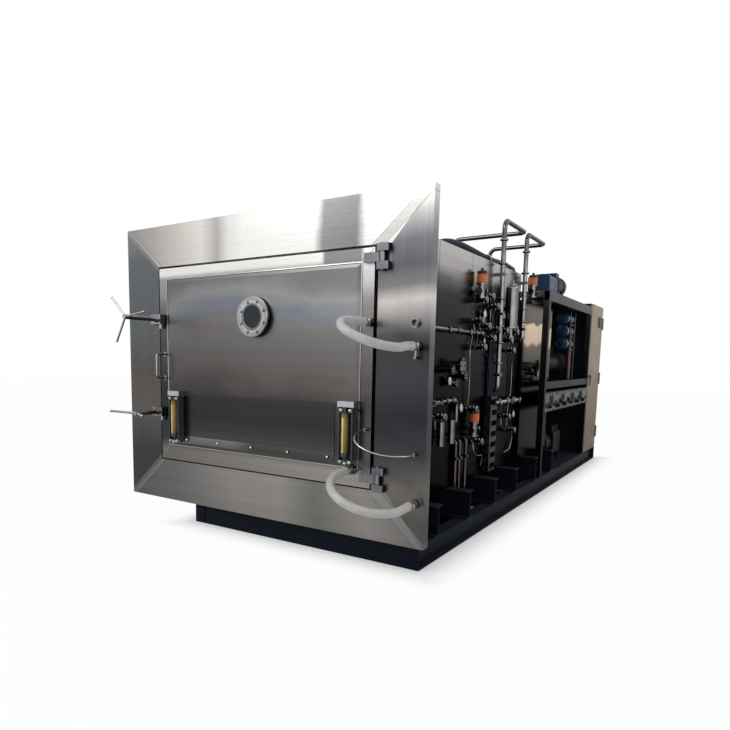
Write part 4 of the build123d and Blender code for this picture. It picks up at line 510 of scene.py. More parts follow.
def polished_steel(name, bright=1.0, roughness=0.16, handled=0.1, tint=(0.66, 0.655, 0.64), contrast=1.0):
    """Bright steel with wipe marks, stains and a painted reflection of the hall: darker where it faces down
    or away.
    """
    finish = Finish(name, Metallic=1.0)
    smudge_and_reflection_warp = finish.noise((9, 9, 9), 4.0, 0.6)
    turning = finish.noise((320, 320, 320), 2.0, 0.5)
    toward = finish.node("VectorMath", {"operation": "DOT_PRODUCT"}, (finish.normal(), WINDOW),
        output="Value")
    level = toward * 0.5 + 0.5 + (smudge_and_reflection_warp - 0.5) * 0.1
    stops = [(k, *(tone ** contrast,) * 3) for k, tone in MIRRORED]
    depth = finish.node("ValToRGB", {"stops": stops}, (level,))
    shine = finish.multiply(tuple(min(1, t * bright) for t in tint), depth)
    stain = finish.spread(finish.noise((3, 3, 3), 3.0), 0.5, 0.75)
    finish.feed("Base Color", finish.mix(stain * 0.45, shine, (0.1, 0.1, 0.1)))
    finish.feed("Roughness", roughness + (smudge_and_reflection_warp - 0.4) * handled + (turning - 0.5) * 0.05)
    finish.bump(turning, 0.0002, 0.25)
    return finish


dress(polished_steel("polished_fittings", 0.8, contrast=1.3), "pull_handle", "clamp_blocks",
    "door_fittings", "clamp_keepers", "facade_fittings")
dress(polished_steel("hinge_steel", 0.62, 0.26, tint=(0.6, 0.63, 0.68), contrast=1.4), "hinge_arms",
    "hinge_blocks")
dress(polished_steel("polished_handles", 1.0, 0.2), "star_handle", "lever_handle")
dress(polished_steel("polished_valves", 0.62, 0.14, contrast=2.1), "valve_bodies", "filter_housing",
    "port_clusters")

# %% Pipes, which are in the dark near the skid and above the roof
pipe_steel = polished_steel("polished_pipes", 0.7, 0.14, contrast=2.0)
# Painted shade: the pipes are dimmed low down near the skid and high up against the sky.
pipe_height = pipe_steel.spread(pipe_steel.axes()[2], 0.65, 0.98, 0.0, 1.0, smooth=True)
lit_pipe = pipe_steel.fed_colour()
dim_pipe = pipe_steel.multiply(lit_pipe, (0.42, 0.3, 0.25))
pipe_tone = pipe_steel.mix(pipe_height, dim_pipe, lit_pipe)
against_sky = pipe_steel.spread(pipe_steel.axes()[2], 2.22, 2.42, 1.0, 0.45)
pipe_steel.feed("Base Color", pipe_steel.multiply(pipe_tone, against_sky))
dress(pipe_steel, "process_pipes")

# %% The sight glass's flange, bright at its two rims and grey between its bolts
flange = polished_steel("sight_flange_steel", 1.25, 0.22, contrast=0.9)
flange_low, flange_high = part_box("sight_flange")
flange_x, _, flange_z = flange.axes()
from_x = flange_x - (flange_low[0] + flange_high[0]) / 2
from_z = flange_z - (flange_low[2] + flange_high[2]) / 2
flange_radius = flange.math("SQRT", from_x * from_x + from_z * from_z)
from_hub = flange_radius / (flange_high[0] - flange_low[0]) * 2.0
# Painted highlights: two bright rings at the rims and a grey band between them, set by distance from the
# flange's middle.
rings = flange.node("ValToRGB", {"stops": [(0.0, 0.5, 0.5, 0.5), (0.56, 1.0, 1.0, 1.0),
    (0.6, 0.3, 0.32, 0.34), (0.66, 0.34, 0.36, 0.38), (0.7, 0.95, 0.95, 0.95), (0.86, 0.66, 0.68, 0.7),
    (0.955, 0.62, 0.64, 0.66), (1.0, 1.0, 1.0, 1.0)]}, (from_hub,))
flange.feed("Base Color", flange.multiply(flange.fed_colour(), rings))
dress(flange, "sight_flange")

# %% The inside of the chamber
dress(polished_steel("vessel_inside", 1.1, 0.34, 0.14), "chamber_vessel", "chamber_ribs", "shelf_rack",
    *["shelf_%d" % k for k in range(1, 6)], "condenser_vessel", "isolation_valve", "valve_plate")


# %% [markdown]
# ## Painted iron and steel
# The skid, the pumps and the cabinet are painted. Paint on a casting has a faint orange peel, collects dust
# where it faces up and rubs through to dark primer at random spots, each of which is one mask over the base
# colour.


# %% Paint with dust and wear
def paint(name, colour, roughness=0.42, dust=0.18, worn=(0.05, 0.05, 0.05), coat=0.0, gloss=1.32):
    """Paint of one colour, cloudy, dusty from above and slightly worn. Gloss is its index of refraction."""
    finish = Finish(name, Coat_Weight=coat, IOR=gloss)
    cloud = finish.noise((4, 4, 4), 4.0, 0.55)
    orange_peel = finish.noise((90, 90, 90), 2.0, 0.5)
    up = finish.spread(finish.node("SeparateXYZ", inputs=(finish.normal(),), output=2), 0.35, 1.0)
    shade = finish.mix(finish.spread(cloud, 0.35, 0.7) * 0.5, colour, tuple(c * 0.72 for c in colour))
    dusty = finish.mix(up * cloud * dust * 2.0, shade, (0.42, 0.4, 0.37))
    rubbed = finish.spread(finish.noise((38, 38, 38), 5.0, 0.7), 0.66, 0.72)
    finish.feed("Base Color", finish.mix(rubbed * 0.6, dusty, worn))
    finish.feed("Roughness", roughness + (cloud - 0.5) * 0.2 + up * 0.15)
    finish.bump(orange_peel, 0.0006, 0.4)
    return finish


structure_paint = paint("structure_paint", (0.0075, 0.011, 0.0175), 0.42, dust=0.02,
    worn=(0.014, 0.018, 0.024), gloss=1.13)
dress(structure_paint, "skid_frame", "bolsters")
# The machine frame's satin steel is darker low down and paler at the top, which is a painted reflection.
dress(brushed_sheet("frame_steel", 0.172, 2.09, [(0.0, 0.008, 0.009, 0.011), (0.5, 0.018, 0.017, 0.016),
    (0.85, 0.035, 0.036, 0.04), (1.0, 0.1, 0.105, 0.115)], grain=(60, 60, 60), bend=0.1, roughness=0.36,
    edge=0.6), "machine_frame")
dress(paint("motor_blue_paint", (0.006, 0.027, 0.082), 0.36, dust=0.03, gloss=1.22), "booster_motor",
    "vacuum_pump", "roots_booster")
dress(paint("machine_grey_paint", (0.008, 0.01, 0.012), 0.42, dust=0.02, gloss=1.12), "compressor_a",
    "compressor_b")
dress(paint("receiver_black_paint", (0.008, 0.009, 0.01), 0.4, dust=0.04, coat=0.1), "refrigerant_receiver")

# %% Two-coloured paint on the actuators and the cabinet
actuators = paint("actuator_orange_paint", (0.78, 0.185, 0.055), 0.36, dust=0.05, worn=(0.35, 0.08, 0.03),
    coat=0.2)
_, actuator_y, actuator_z = actuators.axes()
ACTUATOR_FEET = ((-1.61, 1.99), (-0.269, 2.115), (-1.649, 0.872))
black_cap = 0.0
for along, foot in ACTUATOR_FEET:
    above = (abs(actuator_y - along) < 0.12) * (actuator_z > foot + 0.07) * (actuator_z < foot + 0.2)
    black_cap = above + black_cap
actuators.feed("Base Color", actuators.mix(black_cap, actuators.fed_colour(), (0.016, 0.017, 0.022)))
dress(actuators, "valve_actuators")
cabinet = paint("cabinet_beige_paint", (0.43, 0.325, 0.215), 0.34, dust=0.04, worn=(0.26, 0.2, 0.14),
    gloss=1.12)
_, cabinet_y, cabinet_z = cabinet.axes()
# Painted shade: the beige grows darker towards the floor, down to 58 % of its tone at 0.3 m.
beige = cabinet.multiply(cabinet.fed_colour(), cabinet.spread(cabinet_z, 0.3, 1.9, 0.58, 1.0))
CABINET_FRONT = 2.1675
cabinet.feed("Base Color", cabinet.mix(cabinet_y < CABINET_FRONT, beige, (0.01, 0.013, 0.017)))
dress(cabinet, "cabinet_shell", "cabinet_door")
dress(paint("handle_black_paint", (0.014, 0.014, 0.015), 0.33, dust=0.02, coat=0.4), "cabinet_handle",
    "valve_lever")


# %% [markdown]
# ## Galvanised trays
# Hot-dip galvanised sheet crystallises in flat patches, each with its own grey. Voronoi cells are that
# pattern.

# %% Galvanised steel
trays = Finish("galvanised_trays", Metallic=1.0)
spangle = trays.node("TexVoronoi", {"feature": "F1"}, {"Vector": trays.place, "Scale": 45.0}, output=1)
cell = trays.node("SeparateColor", inputs=(spangle,))
tray_cloud = trays.noise((5, 5, 5), 3.0)
_, tray_y, _ = trays.axes()
zinc = trays.mix(cell * 0.6 + tray_cloud * 0.4, (0.055, 0.059, 0.066), (0.17, 0.178, 0.186))
trays.feed("Base Color", trays.multiply(zinc, trays.spread(tray_y, -0.9, -0.1, 0.35, 1.0)))
trays.feed("Roughness", 0.34 + cell * 0.18)
trays.bump(cell, 0.0003, 0.2)
dress(trays, "cable_trays")
dress(polished_steel("coil_finish", 0.9, 0.4, 0.2), "condenser_coil")

# %% [markdown]
# ## Rubber, silicone and glass
# Silicone hose is milky: a little light goes into it and comes out again, which is subsurface scattering.
# The gauge tubes hold amber oil, and the sight glass is dark because the chamber is.

# %% Silicone hoses and the capillary
silicone = Finish("milky_silicone", Subsurface_Weight=0.18, Subsurface_Scale=0.01, IOR=1.42)
silicone_cloud = silicone.noise((14, 14, 14), 3.0)
silicone_skin = silicone.noise((260, 260, 260), 2.0)
silicone.feed("Base Color", silicone.mix(silicone.spread(silicone_cloud, 0.3, 0.75), (0.6, 0.585, 0.56),
    (0.47, 0.455, 0.43)))
silicone.feed("Roughness", 0.34 + (silicone_cloud - 0.5) * 0.2)
silicone.bump(silicone_skin, 0.0004, 0.3)
capillary_finish = polished_steel("capillary_steel", 1.3, 0.22)
for name, hose in hoses.items():
    hose.data.materials.append(capillary_finish.material if name == "capillary" else silicone.material)

# %% Door seal
def clouded(name, stretch, dark, light, roughness, change, **constants):
    """A finish that drifts between two colours and gets rougher by a change where it is lighter."""
    finish = Finish(name, **constants)
    cloud = finish.noise(stretch, 3.0)
    finish.feed("Base Color", finish.mix(cloud, dark, light))
    finish.feed("Roughness", roughness + cloud * change)
    return finish


dress(clouded("seal_rubber", (30, 30, 30), (0.012, 0.012, 0.013), (0.045, 0.044, 0.043), 0.5, 0.2),
    "door_gasket")

# %% Gauge tubes with amber oil
(_, _, gauge_low), (_, _, gauge_high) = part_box("gauge_tubes")
amber = Finish("amber_tubes", Coat_Weight=0.45, Coat_Roughness=0.04, IOR=1.25)
_, _, amber_z = amber.axes()
level = amber.spread(amber_z, gauge_low, gauge_high)
amber_cloud = amber.noise((60, 60, 12), 3.0)
oil = amber.node("ValToRGB", {"stops": [(0.0, 0.2, 0.115, 0.025), (0.35, 0.34, 0.2, 0.045),
    (0.8, 0.42, 0.27, 0.08), (0.9, 0.3, 0.19, 0.06), (1.0, 0.14, 0.09, 0.035)]}, (level,))
# A painted highlight: a pale stripe runs down the front of each tube, and down its back, except near the top.
amber_side = amber.node("SeparateXYZ", inputs=(amber.normal(),))
line = amber.spread(abs(amber_side + 0.1), 0.14, 0.3, 1.0, 0.0) * (level < 0.88)
oil = amber.mix(line * 0.9, oil, (0.95, 0.84, 0.58))
amber.feed("Base Color", amber.mix(amber.spread(amber_cloud, 0.35, 0.7) * 0.5, oil, (0.24, 0.15, 0.04)))
amber.feed("Roughness", 0.1 + amber_cloud * 0.12)
dress(amber, "gauge_tubes")

# %% Gauge brackets with bright caps
bracket_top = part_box("gauge_brackets")[1][2]
bracket = Finish("gauge_bracket_paint")
_, _, bracket_z = bracket.axes()
cap = bracket.spread(bracket_z, bracket_top - 0.04, bracket_top - 0.038)
bracket_cloud = bracket.noise((25, 25, 25), 3.0)
bracket_grey = bracket.mix(bracket_cloud, (0.02, 0.024, 0.032), (0.06, 0.066, 0.078))
bracket.feed("Base Color", bracket.mix(cap, bracket_grey, (0.6, 0.6, 0.6)))
bracket.feed("Metallic", cap)
bracket.feed("Roughness", 0.38 - cap * 0.16 + (bracket_cloud - 0.5) * 0.15)
dress(bracket, "gauge_brackets")

# %% Sight glass
dress(clouded("sight_pane", (16, 16, 16), (0.006, 0.012, 0.015), (0.02, 0.032, 0.038), 0.05, 0.08,
    Coat_Weight=0.25, Coat_Roughness=0.02, IOR=1.22), "sight_glass")

# %% [markdown]
# ## Shaping small parts by hand
# Nuts, valves, gauges and pumps are turned parts: a disc is extruded upwards ring by ring and each new
# ring is scaled to its own radius, just as one would drag it in edit mode. Before any operator runs,
# everything is deselected, because an operator acts on all that is selected. A part that repeats is
# modelled once at the origin, and each copy gets its own mesh before the copies are joined into one piece.

# %% Helpers for turning, copying and finishing
def begin(kind, name, **where):
    """Adds a primitive with nothing else selected."""
    bpy.ops.object.select_all(action="DESELECT")
    getattr(bpy.ops.mesh, "primitive_" + kind + "_add")(**where)
    piece = bpy.context.object
    piece.name = name
    return piece


def turned(name, profile, sides=20):
    """A turned part about Z from (radius, height) pairs, closed at both ends."""
    radius, height = profile[0]
    piece = begin("circle", name, vertices=sides, radius=radius, fill_type="NGON", location=(0, 0, height))
    bpy.ops.object.transform_apply(location=True, rotation=True, scale=True)
    bpy.ops.object.mode_set(mode="EDIT")
    bpy.ops.mesh.select_all(action="SELECT")
    for wide, high in profile[1:]:
        bpy.ops.mesh.extrude_region_move(TRANSFORM_OT_translate={"value": (0, 0, high - height)})
        if wide != radius:
            grow = wide / radius
            bpy.ops.transform.resize(value=(grow, grow, 1), center_override=(0, 0, high))
        radius, height = wide, high
    bpy.ops.mesh.select_all(action="SELECT")
    bpy.ops.mesh.normals_make_consistent(inside=False)
    bpy.ops.object.mode_set(mode="OBJECT")
    return piece


def choose(*pieces):
    """Selects these pieces and nothing else, with the first one active."""
    bpy.ops.object.select_all(action="DESELECT")
    for piece in pieces:
        piece.select_set(True)
    bpy.context.view_layer.objects.active = pieces[0]


def soften(piece, width):
    """Rounds a piece's sharp edges with an applied bevel."""
    choose(piece)
    bevel = piece.modifiers.new("soft_edges", "BEVEL")
    bevel.width, bevel.segments, bevel.limit_method = width, 2, "ANGLE"
    bpy.ops.object.modifier_apply(modifier=bevel.name)
    return piece


def thicken(piece, thickness, offset=1):
    """Gives a surface a wall, outside it or, with offset 0, on both of its sides."""
    choose(piece)
    wall = piece.modifiers.new("wall", "SOLIDIFY")
    wall.thickness, wall.offset = thickness, offset
    bpy.ops.object.modifier_apply(modifier=wall.name)
    return piece


def merge(name, *pieces):
    """Joins pieces into one."""
    choose(*pieces)
    if len(pieces) > 1:
        bpy.ops.object.join()
    pieces[0].name = name
    return pieces[0]


FACING = {
    "up": Matrix.Identity(4),
    "front": Matrix.Rotation(math.pi / 2, 4, "X"),
    "back": Matrix.Rotation(-math.pi / 2, 4, "X"),
    "right": Matrix.Rotation(math.pi / 2, 4, "Y"),
}


def at(x, y, z, facing="up", size=1.0):
    """A place for a copy: where it goes, which way its axis points and how large it is."""
    return Matrix.Translation((x, y, z)) @ FACING[facing] @ Matrix.Scale(size, 4)


def repeat(name, piece, places):
    """One piece made of a copy of a modelled part at each place."""
    copies = []
    for place in places[1:]:
        copy = piece.copy()
        copy.data = piece.data.copy()
        in_scene.link(copy)
        copy.data.transform(place)
        copies.append(copy)
    piece.data.transform(places[0])
    return merge(name, piece, *copies)


def done(piece, finish, body="base"):
    """Smooths a piece, gives it its finish and lets it ride on a body."""
    choose(piece)
    bpy.ops.object.transform_apply(location=True, rotation=True, scale=True)
    bpy.ops.object.shade_smooth_by_angle(angle=math.radians(35))
    piece.data.materials.clear()
    piece.data.materials.append(finish.material)
    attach(piece, body)
    print(piece.name, len(piece.data.polygons), "faces on", body)


def rigid_tube(name, points, width, steps=8):
    """A fixed tube or cable along a smooth line, as a mesh."""
    choose(nurbs_line(name, points, steps, 3, width / 2))
    bpy.ops.object.convert(target="MESH")
    return bpy.context.object


def corrugate(tube, swell):
    """Widens every second ring of a tube, which gives it the ribs of a flexible conduit."""
    sides = max(len(face.vertices) for face in tube.data.polygons)
    corners = tube.data.vertices
    for first in range(sides, len(corners) - sides, 2 * sides):
        ring = [corners[k] for k in range(first, first + sides)]
        middle = sum((corner.co for corner in ring), Vector()) / sides
        for corner in ring:
            corner.co = middle + (corner.co - middle) * swell
    return tube


def box(name, low, high, edge=0.003):
    """A rounded block between two corners."""
    middle = [(a + b) / 2 for a, b in zip(low, high)]
    block = begin("cube", name, size=1, location=middle, scale=[b - a for a, b in zip(low, high)])
    bpy.ops.object.transform_apply(location=True, rotation=True, scale=True)
    return soften(block, edge)


# %% [markdown]
# ## Hose clamps
# A worm-drive clamp grips each end of a silicone hose: a thin band round the hose with a small screw
# housing on it. The band is an open cylinder thickened by Solidify. Those at the door swing with the door.

# %% Model one clamp and place four
clamp_steel = polished_steel("clamp_band_steel", 0.9)
CLAMP_OUT = 0.078
CLAMP_RADII = {"upper": 0.0272, "lower": 0.0282}


def hose_clamp(radius, end):
    """A clamp round a hose end at the front of the door or of the wall."""
    band = thicken(begin("cylinder", "band", vertices=40, radius=radius, depth=0.014,
        end_fill_type="NOTHING"), 0.0022)
    screw = box("screw", (radius, -0.016, -0.009), (radius + 0.013, 0.016, 0.009))
    head = turned("head", [(0.006, 0), (0.006, 0.004), (0.0045, 0.006)], 6)
    head.data.transform(at(radius + 0.0065, -0.016, 0, "front"))
    clamp = merge("clamp", band, screw, head)
    clamp.data.transform(at(end[0], FRONT - CLAMP_OUT, end[1], "front"))
    return clamp


for piece_name, ends, body in (
        ("door_hose_clamps", DOOR_ENDS, "door"), ("wall_hose_clamps", WALL_ENDS, "base")):
    clamps = [hose_clamp(radius, ends[name]) for name, radius in CLAMP_RADII.items()]
    done(merge(piece_name, *clamps), clamp_steel, body=body)

# %% [markdown]
# ## Door trim
# The raised panel of the door is edged with a narrow polished bead, which is what catches the light in a
# bright line. It starts as a plane the size of the panel, its border is inset, the middle is deleted and
# the frame is thickened.

# %% Bead round the raised panel
panel_low, panel_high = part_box("door_panel")
BEAD_WIDTH, BEAD_OVERLAP, BEAD_OUT = 0.007, 0.004, 0.003
panel_wide, panel_tall = panel_high[0] - panel_low[0], panel_high[2] - panel_low[2]
middle_x, middle_z = (panel_low[0] + panel_high[0]) / 2, (panel_low[2] + panel_high[2]) / 2
bead = begin("plane", "panel_bead", size=1, location=(0, 0, 0))
bead.data.transform(Matrix.Diagonal((panel_wide + BEAD_OVERLAP, panel_tall + BEAD_OVERLAP, 1, 1)))
bpy.ops.object.mode_set(mode="EDIT")
bpy.ops.mesh.select_all(action="SELECT")
bpy.ops.mesh.inset(thickness=BEAD_WIDTH)
bpy.ops.mesh.delete(type="FACE")
bpy.ops.object.mode_set(mode="OBJECT")
thicken(bead, 0.005, 0)
bead.data.transform(at(middle_x, FRONT - BEAD_OUT, middle_z, "front"))
done(soften(bead, 0.0016), polished_steel("bead_steel", 1.1), body="door")

# %% [markdown]
# ## Welds of the door's rim
# The rim round the raised panel is folded from four strips, which are welded where they meet. Each weld is
# a low bead from a corner of the panel to the same corner of the door.

# %% Four weld beads
leaf_low, leaf_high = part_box("door_leaf")
WELD_Y = FRONT + 0.0012
rim_welds = []
for x, outer_x in ((panel_low[0], leaf_low[0]), (panel_high[0], leaf_high[0])):
    for z, outer_z in ((panel_low[2], leaf_low[2]), (panel_high[2], leaf_high[2])):
        corner, outer = Vector((x, WELD_Y, z)), Vector((outer_x, WELD_Y, outer_z))
        rim_welds.append(rigid_tube("weld", [corner.lerp(outer, k) for k in (0.08, 0.5, 0.94)], 0.006))
done(merge("door_rim_welds", *rim_welds), polished_steel("weld_steel", 0.9), body="door")

# %% [markdown]
# ## Nuts on the gauge feet
# Domed cap nuts hold the gauges. One is turned with a round top and copied.

# %% Domed nuts
nut = turned("nut", [(0.013, 0), (0.013, 0.004), (0.0085, 0.005), (0.0085, 0.01), (0.0065, 0.014),
    (0.003, 0.016)], 12)
GAUGES_X = (-1.126, 0.521)
NUTS = ((-0.036, 0.684), (0.0, 0.676), (0.036, 0.684), (-0.036, 1.03), (0.036, 1.03))
NUTS_OUT = 0.078
nut_places = [at(gauge + x, FRONT - NUTS_OUT, z, "front") for gauge in GAUGES_X for x, z in NUTS]
done(repeat("gauge_cap_nuts", nut, nut_places), polished_steel("nut_steel", 1.2), body="door")

# %% [markdown]
# ## Conduit along the roof
# Cables run along the roof's right edge in a ribbed blue-grey conduit. Every second ring of its tube is a
# little wider than its neighbours, which makes the ribs, and three saddles hold it down.

# %% Ribbed conduit and its saddles
ribbed = paint("conduit_blue", (0.012, 0.017, 0.036), 0.5, dust=0.04)
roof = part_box("chamber_cladding")[1][2]


def over_roof(*points):
    """Points by their height over the chamber's roof."""
    return [(x, y, roof + up) for x, y, up in points]


conduit = rigid_tube("roof_conduit", over_roof((0.64, -2.1, 0.01), (0.69, -1.98, 0.062),
    (0.735, -1.8, 0.068), (0.76, -1.6, 0.052), (0.775, -1.3, 0.03), (0.78, -0.95, 0.03), (0.78, -0.7, 0.03),
    (0.775, -0.46, 0.03), (0.74, -0.38, 0.004)), 0.052, steps=26)
second = rigid_tube("roof_conduit_thin", over_roof((0.66, -1.95, 0.004), (0.69, -1.8, 0.024),
    (0.705, -1.55, 0.017), (0.715, -1.1, 0.017), (0.715, -0.6, 0.017), (0.7, -0.42, 0.006)), 0.027,
    steps=40)
done(merge("roof_conduits", corrugate(conduit, 1.1), corrugate(second, 1.12)), ribbed)
strap = thicken(begin("cylinder", "strap", vertices=32, radius=0.031, depth=0.03, end_fill_type="NOTHING"),
    0.003)
saddle = merge("saddle", strap, box("foot", (-0.052, -0.031, -0.015), (0.052, -0.027, 0.015), 0.001))
done(repeat("conduit_saddles", saddle, [at(0.778, y, roof + 0.03, "front") for y in (-1.22, -0.95, -0.66)]),
    clamp_steel)

# %% [markdown]
# ## Clamp joints and small valves on the pipes
# Sanitary pipes are joined with clamp joints, two short collars under a hinged clamp, and closed with small
# hand valves. Both are turned once and copied along the pipes.

# %% Clamp joints on the risers and side lines
pipe_shine = polished_steel("pipe_joint_steel", 0.58, 0.14, contrast=2.1)
joint = turned("joint", [(0.022, 0), (0.03, 0.002), (0.036, 0.008), (0.036, 0.016), (0.03, 0.022),
    (0.022, 0.024)], 24)
RISER_X, LINE_X, MANIFOLD_X = 0.883, 0.855, 0.925
joint_places = [at(RISER_X, -1.114, z) for z in (1.34, 1.52, 1.66, 1.9, 2.2, 2.4)]
joint_places += [at(RISER_X, -0.444, z) for z in (1.74, 1.86, 2.2, 2.4)]
joint_places += [at(LINE_X, y, 1.596, "back", 0.72) for y in (-2.6, -2.02, -1.64, -1.52)]
joint_places += [at(LINE_X, y, 1.066, "back", 0.72) for y in (-2.66, -2.2, -2.08)]
joint_places += [at(MANIFOLD_X, y, 1.01, "back") for y in (-1.2, -0.98, -0.8)]
done(repeat("pipe_clamp_joints", joint, joint_places), pipe_shine)

# %% Hand valves in groups
valve = turned("valve", [(0.014, 0), (0.014, 0.018), (0.026, 0.02), (0.026, 0.03), (0.018, 0.034),
    (0.02, 0.05), (0.03, 0.054), (0.03, 0.062), (0.012, 0.066), (0.012, 0.08), (0.032, 0.083),
    (0.034, 0.092), (0.028, 0.099), (0.01, 0.101)], 20)
tee = turned("tee", [(0.013, -0.075), (0.022, -0.074), (0.022, -0.066), (0.013, -0.064), (0.013, 0.064),
    (0.022, 0.066), (0.022, 0.074), (0.013, 0.075)], 18)
tee.data.transform(FACING["back"])
valve = merge("valve", valve, tee)
wall_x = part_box("chamber_cladding")[1][0]
valve_spots = [(-1.66, 1.69), (-1.5, 1.655), (-1.36, 1.56), (-1.58, 1.48), (-1.24, 1.64), (-1.02, 1.64),
    (-0.88, 1.56), (-0.72, 1.64), (-0.8, 1.47), (-1.6, 1.86), (-1.44, 1.9), (-1.3, 1.83), (-2.36, 0.96),
    (-1.72, 0.98), (-1.56, 0.7), (-0.84, 0.86), (-0.66, 0.72)]
VALVE_OUT, VALVE_SIZE, DIAL_OUT = 0.014, 0.92, 0.004
valve_places = [at(wall_x + VALVE_OUT, y, z, "right", VALVE_SIZE) for y, z in valve_spots]
done(repeat("hand_valves", valve, valve_places), pipe_shine)

# %% Tubing between the valves
runs = [
    [(-1.66, 1.69), (-1.5, 1.69), (-1.5, 1.655)], [(-1.5, 1.655), (-1.5, 1.56), (-1.36, 1.56)],
    [(-1.58, 1.48), (-1.58, 1.56), (-1.66, 1.6), (-1.66, 1.69)],
    [(-1.24, 1.64), (-1.02, 1.64)], [(-1.02, 1.64), (-0.88, 1.64), (-0.88, 1.56)],
    [(-0.88, 1.56), (-0.72, 1.56), (-0.72, 1.64)],
    [(-0.8, 1.47), (-0.64, 1.47), (-0.6, 1.36), (-0.6, 1.06), (-0.66, 1.0), (-0.66, 0.72)],
    [(-1.6, 1.86), (-1.52, 1.88), (-1.44, 1.9)],
    [(-1.44, 1.9), (-1.34, 1.9), (-1.3, 1.83), (-1.3, 1.7), (-1.24, 1.64)],
    [(-2.36, 0.96), (-2.36, 0.86), (-2.3, 0.84), (-2.3, 0.78)],
    [(-1.72, 0.98), (-1.72, 1.08), (-1.72, 1.22), (-1.74, 1.46), (-1.66, 1.6)],
    [(-1.56, 0.7), (-1.56, 0.6), (-1.46, 0.56), (-1.34, 0.56), (-1.34, 0.46)],
    [(-0.84, 0.86), (-0.84, 0.76), (-0.74, 0.72), (-0.66, 0.72)],
    [(-0.66, 0.72), (-0.52, 0.72), (-0.5, 0.62), (-0.56, 0.52), (-0.7, 0.5)],
]
tubes = []
for k, run in enumerate(runs):
    out = [0.016] + [0.022 + 0.004 * (k % 3)] * (len(run) - 2) + [0.016]
    knees = [Vector((wall_x + away, y, z)) for away, (y, z) in zip(out, run)]
    points = [knees[0]]
    for here, there in zip(knees, knees[1:]):
        points += [here.lerp(there, 0.12), here.lerp(there, 0.88)]
    tubes.append(rigid_tube("run", points + [knees[-1]], 0.01))
done(merge("instrument_tubing", *tubes), pipe_shine)

# %% [markdown]
# ## Dial gauges
# Pressure gauges have a turned case with a pale dial behind the rim. The dial's ticks come from the angle
# round its centre, worked out in the finish, so they are sharp at any size.

# %% Dial gauges on the side
case = turned("case", [(0.01, 0), (0.01, 0.012), (0.034, 0.014), (0.036, 0.018), (0.036, 0.034),
    (0.033, 0.037), (0.031, 0.035), (0.031, 0.033)], 28)
dial_spots = [(-2.15, 1.215), (-1.455, 1.76), (-0.96, 1.78), (-1.9, 1.0), (-0.52, 0.86)]
dial_places = [at(wall_x + DIAL_OUT, y, z, "right") for y, z in dial_spots]
done(repeat("dial_gauge_cases", case, dial_places), pipe_shine)
face = turned("face", [(0.03, 0.0332), (0.03, 0.034), (0.004, 0.0345), (0.004, 0.0365), (0.002, 0.037)], 28)
dials = Finish("dial_face", Roughness=0.3, Coat_Weight=0.8)
_, dial_y, dial_z = dials.axes()
inked = 0.0
for y, z in dial_spots:
    away_y, away_z = dial_y - y, dial_z - z
    radius = dials.math("SQRT", away_y * away_y + away_z * away_z)
    wave = dials.math("SINE", dials.math("ARCTAN2", away_z, away_y) * 24.0)
    inked = (wave > 0.72) * (radius > 0.0215) * (radius < 0.0275) + inked
card = dials.mix(dials.noise((30, 30, 30)), (0.8, 0.79, 0.76), (0.66, 0.65, 0.61))
dials.feed("Base Color", dials.mix(inked, card, (0.03, 0.03, 0.03)))
done(repeat("dial_faces", face, dial_places), dials)

# %% [markdown]
# ## Cables in the upright tray
# Sensor cables climb from the tray to the valves. Each wanders a little inside the tray, by a wave with its
# own phase.

# %% Cable bundle
CABLES, WAVE_STEPS, TRAY_FOOT = 9, 12, 0.42
bundles = {"black": [], "blue": []}
for k in range(CABLES):
    base_y = -1.236 + 0.0125 * k
    x = wall_x + 0.01 + 0.009 * (k % 3)
    top = 1.36 + 0.075 * ((k * 5) % 7)
    points = [(x + 0.003 * math.sin(1.7 * step + k), base_y + 0.006 * math.sin(0.9 * step + 2.1 * k),
        TRAY_FOOT + (top - TRAY_FOOT) * step / WAVE_STEPS) for step in range(WAVE_STEPS + 1)]
    points += [(wall_x + 0.02, base_y - 0.05 * math.cos(k), top + 0.06),
        (wall_x + 0.006, base_y - 0.09 * math.cos(k), top + 0.075)]
    bundles["blue" if k % 3 == 1 else "black"].append(rigid_tube("cable", points, 0.0095))
done(merge("black_cables", *bundles["black"]), paint("cable_black", (0.013, 0.014, 0.017), 0.5, dust=0.04))
done(merge("blue_cables", *bundles["blue"]), paint("cable_blue", (0.03, 0.06, 0.13), 0.5, dust=0.04))

# %% [markdown]
# ## The bay
# Behind the open side of the bay stand three blue circulation pumps one above another on a rack, joined by
# copper pipes, and the long cable tray carries cable glands. Each pump is one turned casing with a stepped
# profile.

# %% Pump stack with its rack and pipes
pump = turned("pump", [(0.03, 0), (0.052, 0.004), (0.052, 0.03), (0.07, 0.034), (0.07, 0.09),
    (0.055, 0.096), (0.06, 0.11), (0.062, 0.29), (0.058, 0.296), (0.064, 0.3), (0.064, 0.36), (0.05, 0.372),
    (0.012, 0.376)], 28)
PUMP_X = 0.87
PUMP_LEVELS = (1.595, 1.745, 1.895)
done(repeat("circulation_pumps", pump, [at(PUMP_X, 1.19, z, "back") for z in PUMP_LEVELS]),
    paint("pump_blue", (0.006, 0.03, 0.08), 0.35, dust=0.05, coat=0.15))
posts = [box("post", (0.905, y, 1.165), (0.935, y + 0.03, 1.985)) for y in (1.36, 1.6)]
brackets = [box("bracket", (0.8, 1.36, z - 0.078), (0.935, 1.63, z - 0.066), 0.002) for z in PUMP_LEVELS]
done(merge("pump_rack", *posts, *brackets), paint("rack_paint", (0.01, 0.012, 0.014), dust=0.05))
pipes = [rigid_tube("copper", [(PUMP_X, y, PUMP_LEVELS[0]) for y in (1.12, 1.17, 1.19)], 0.03)]
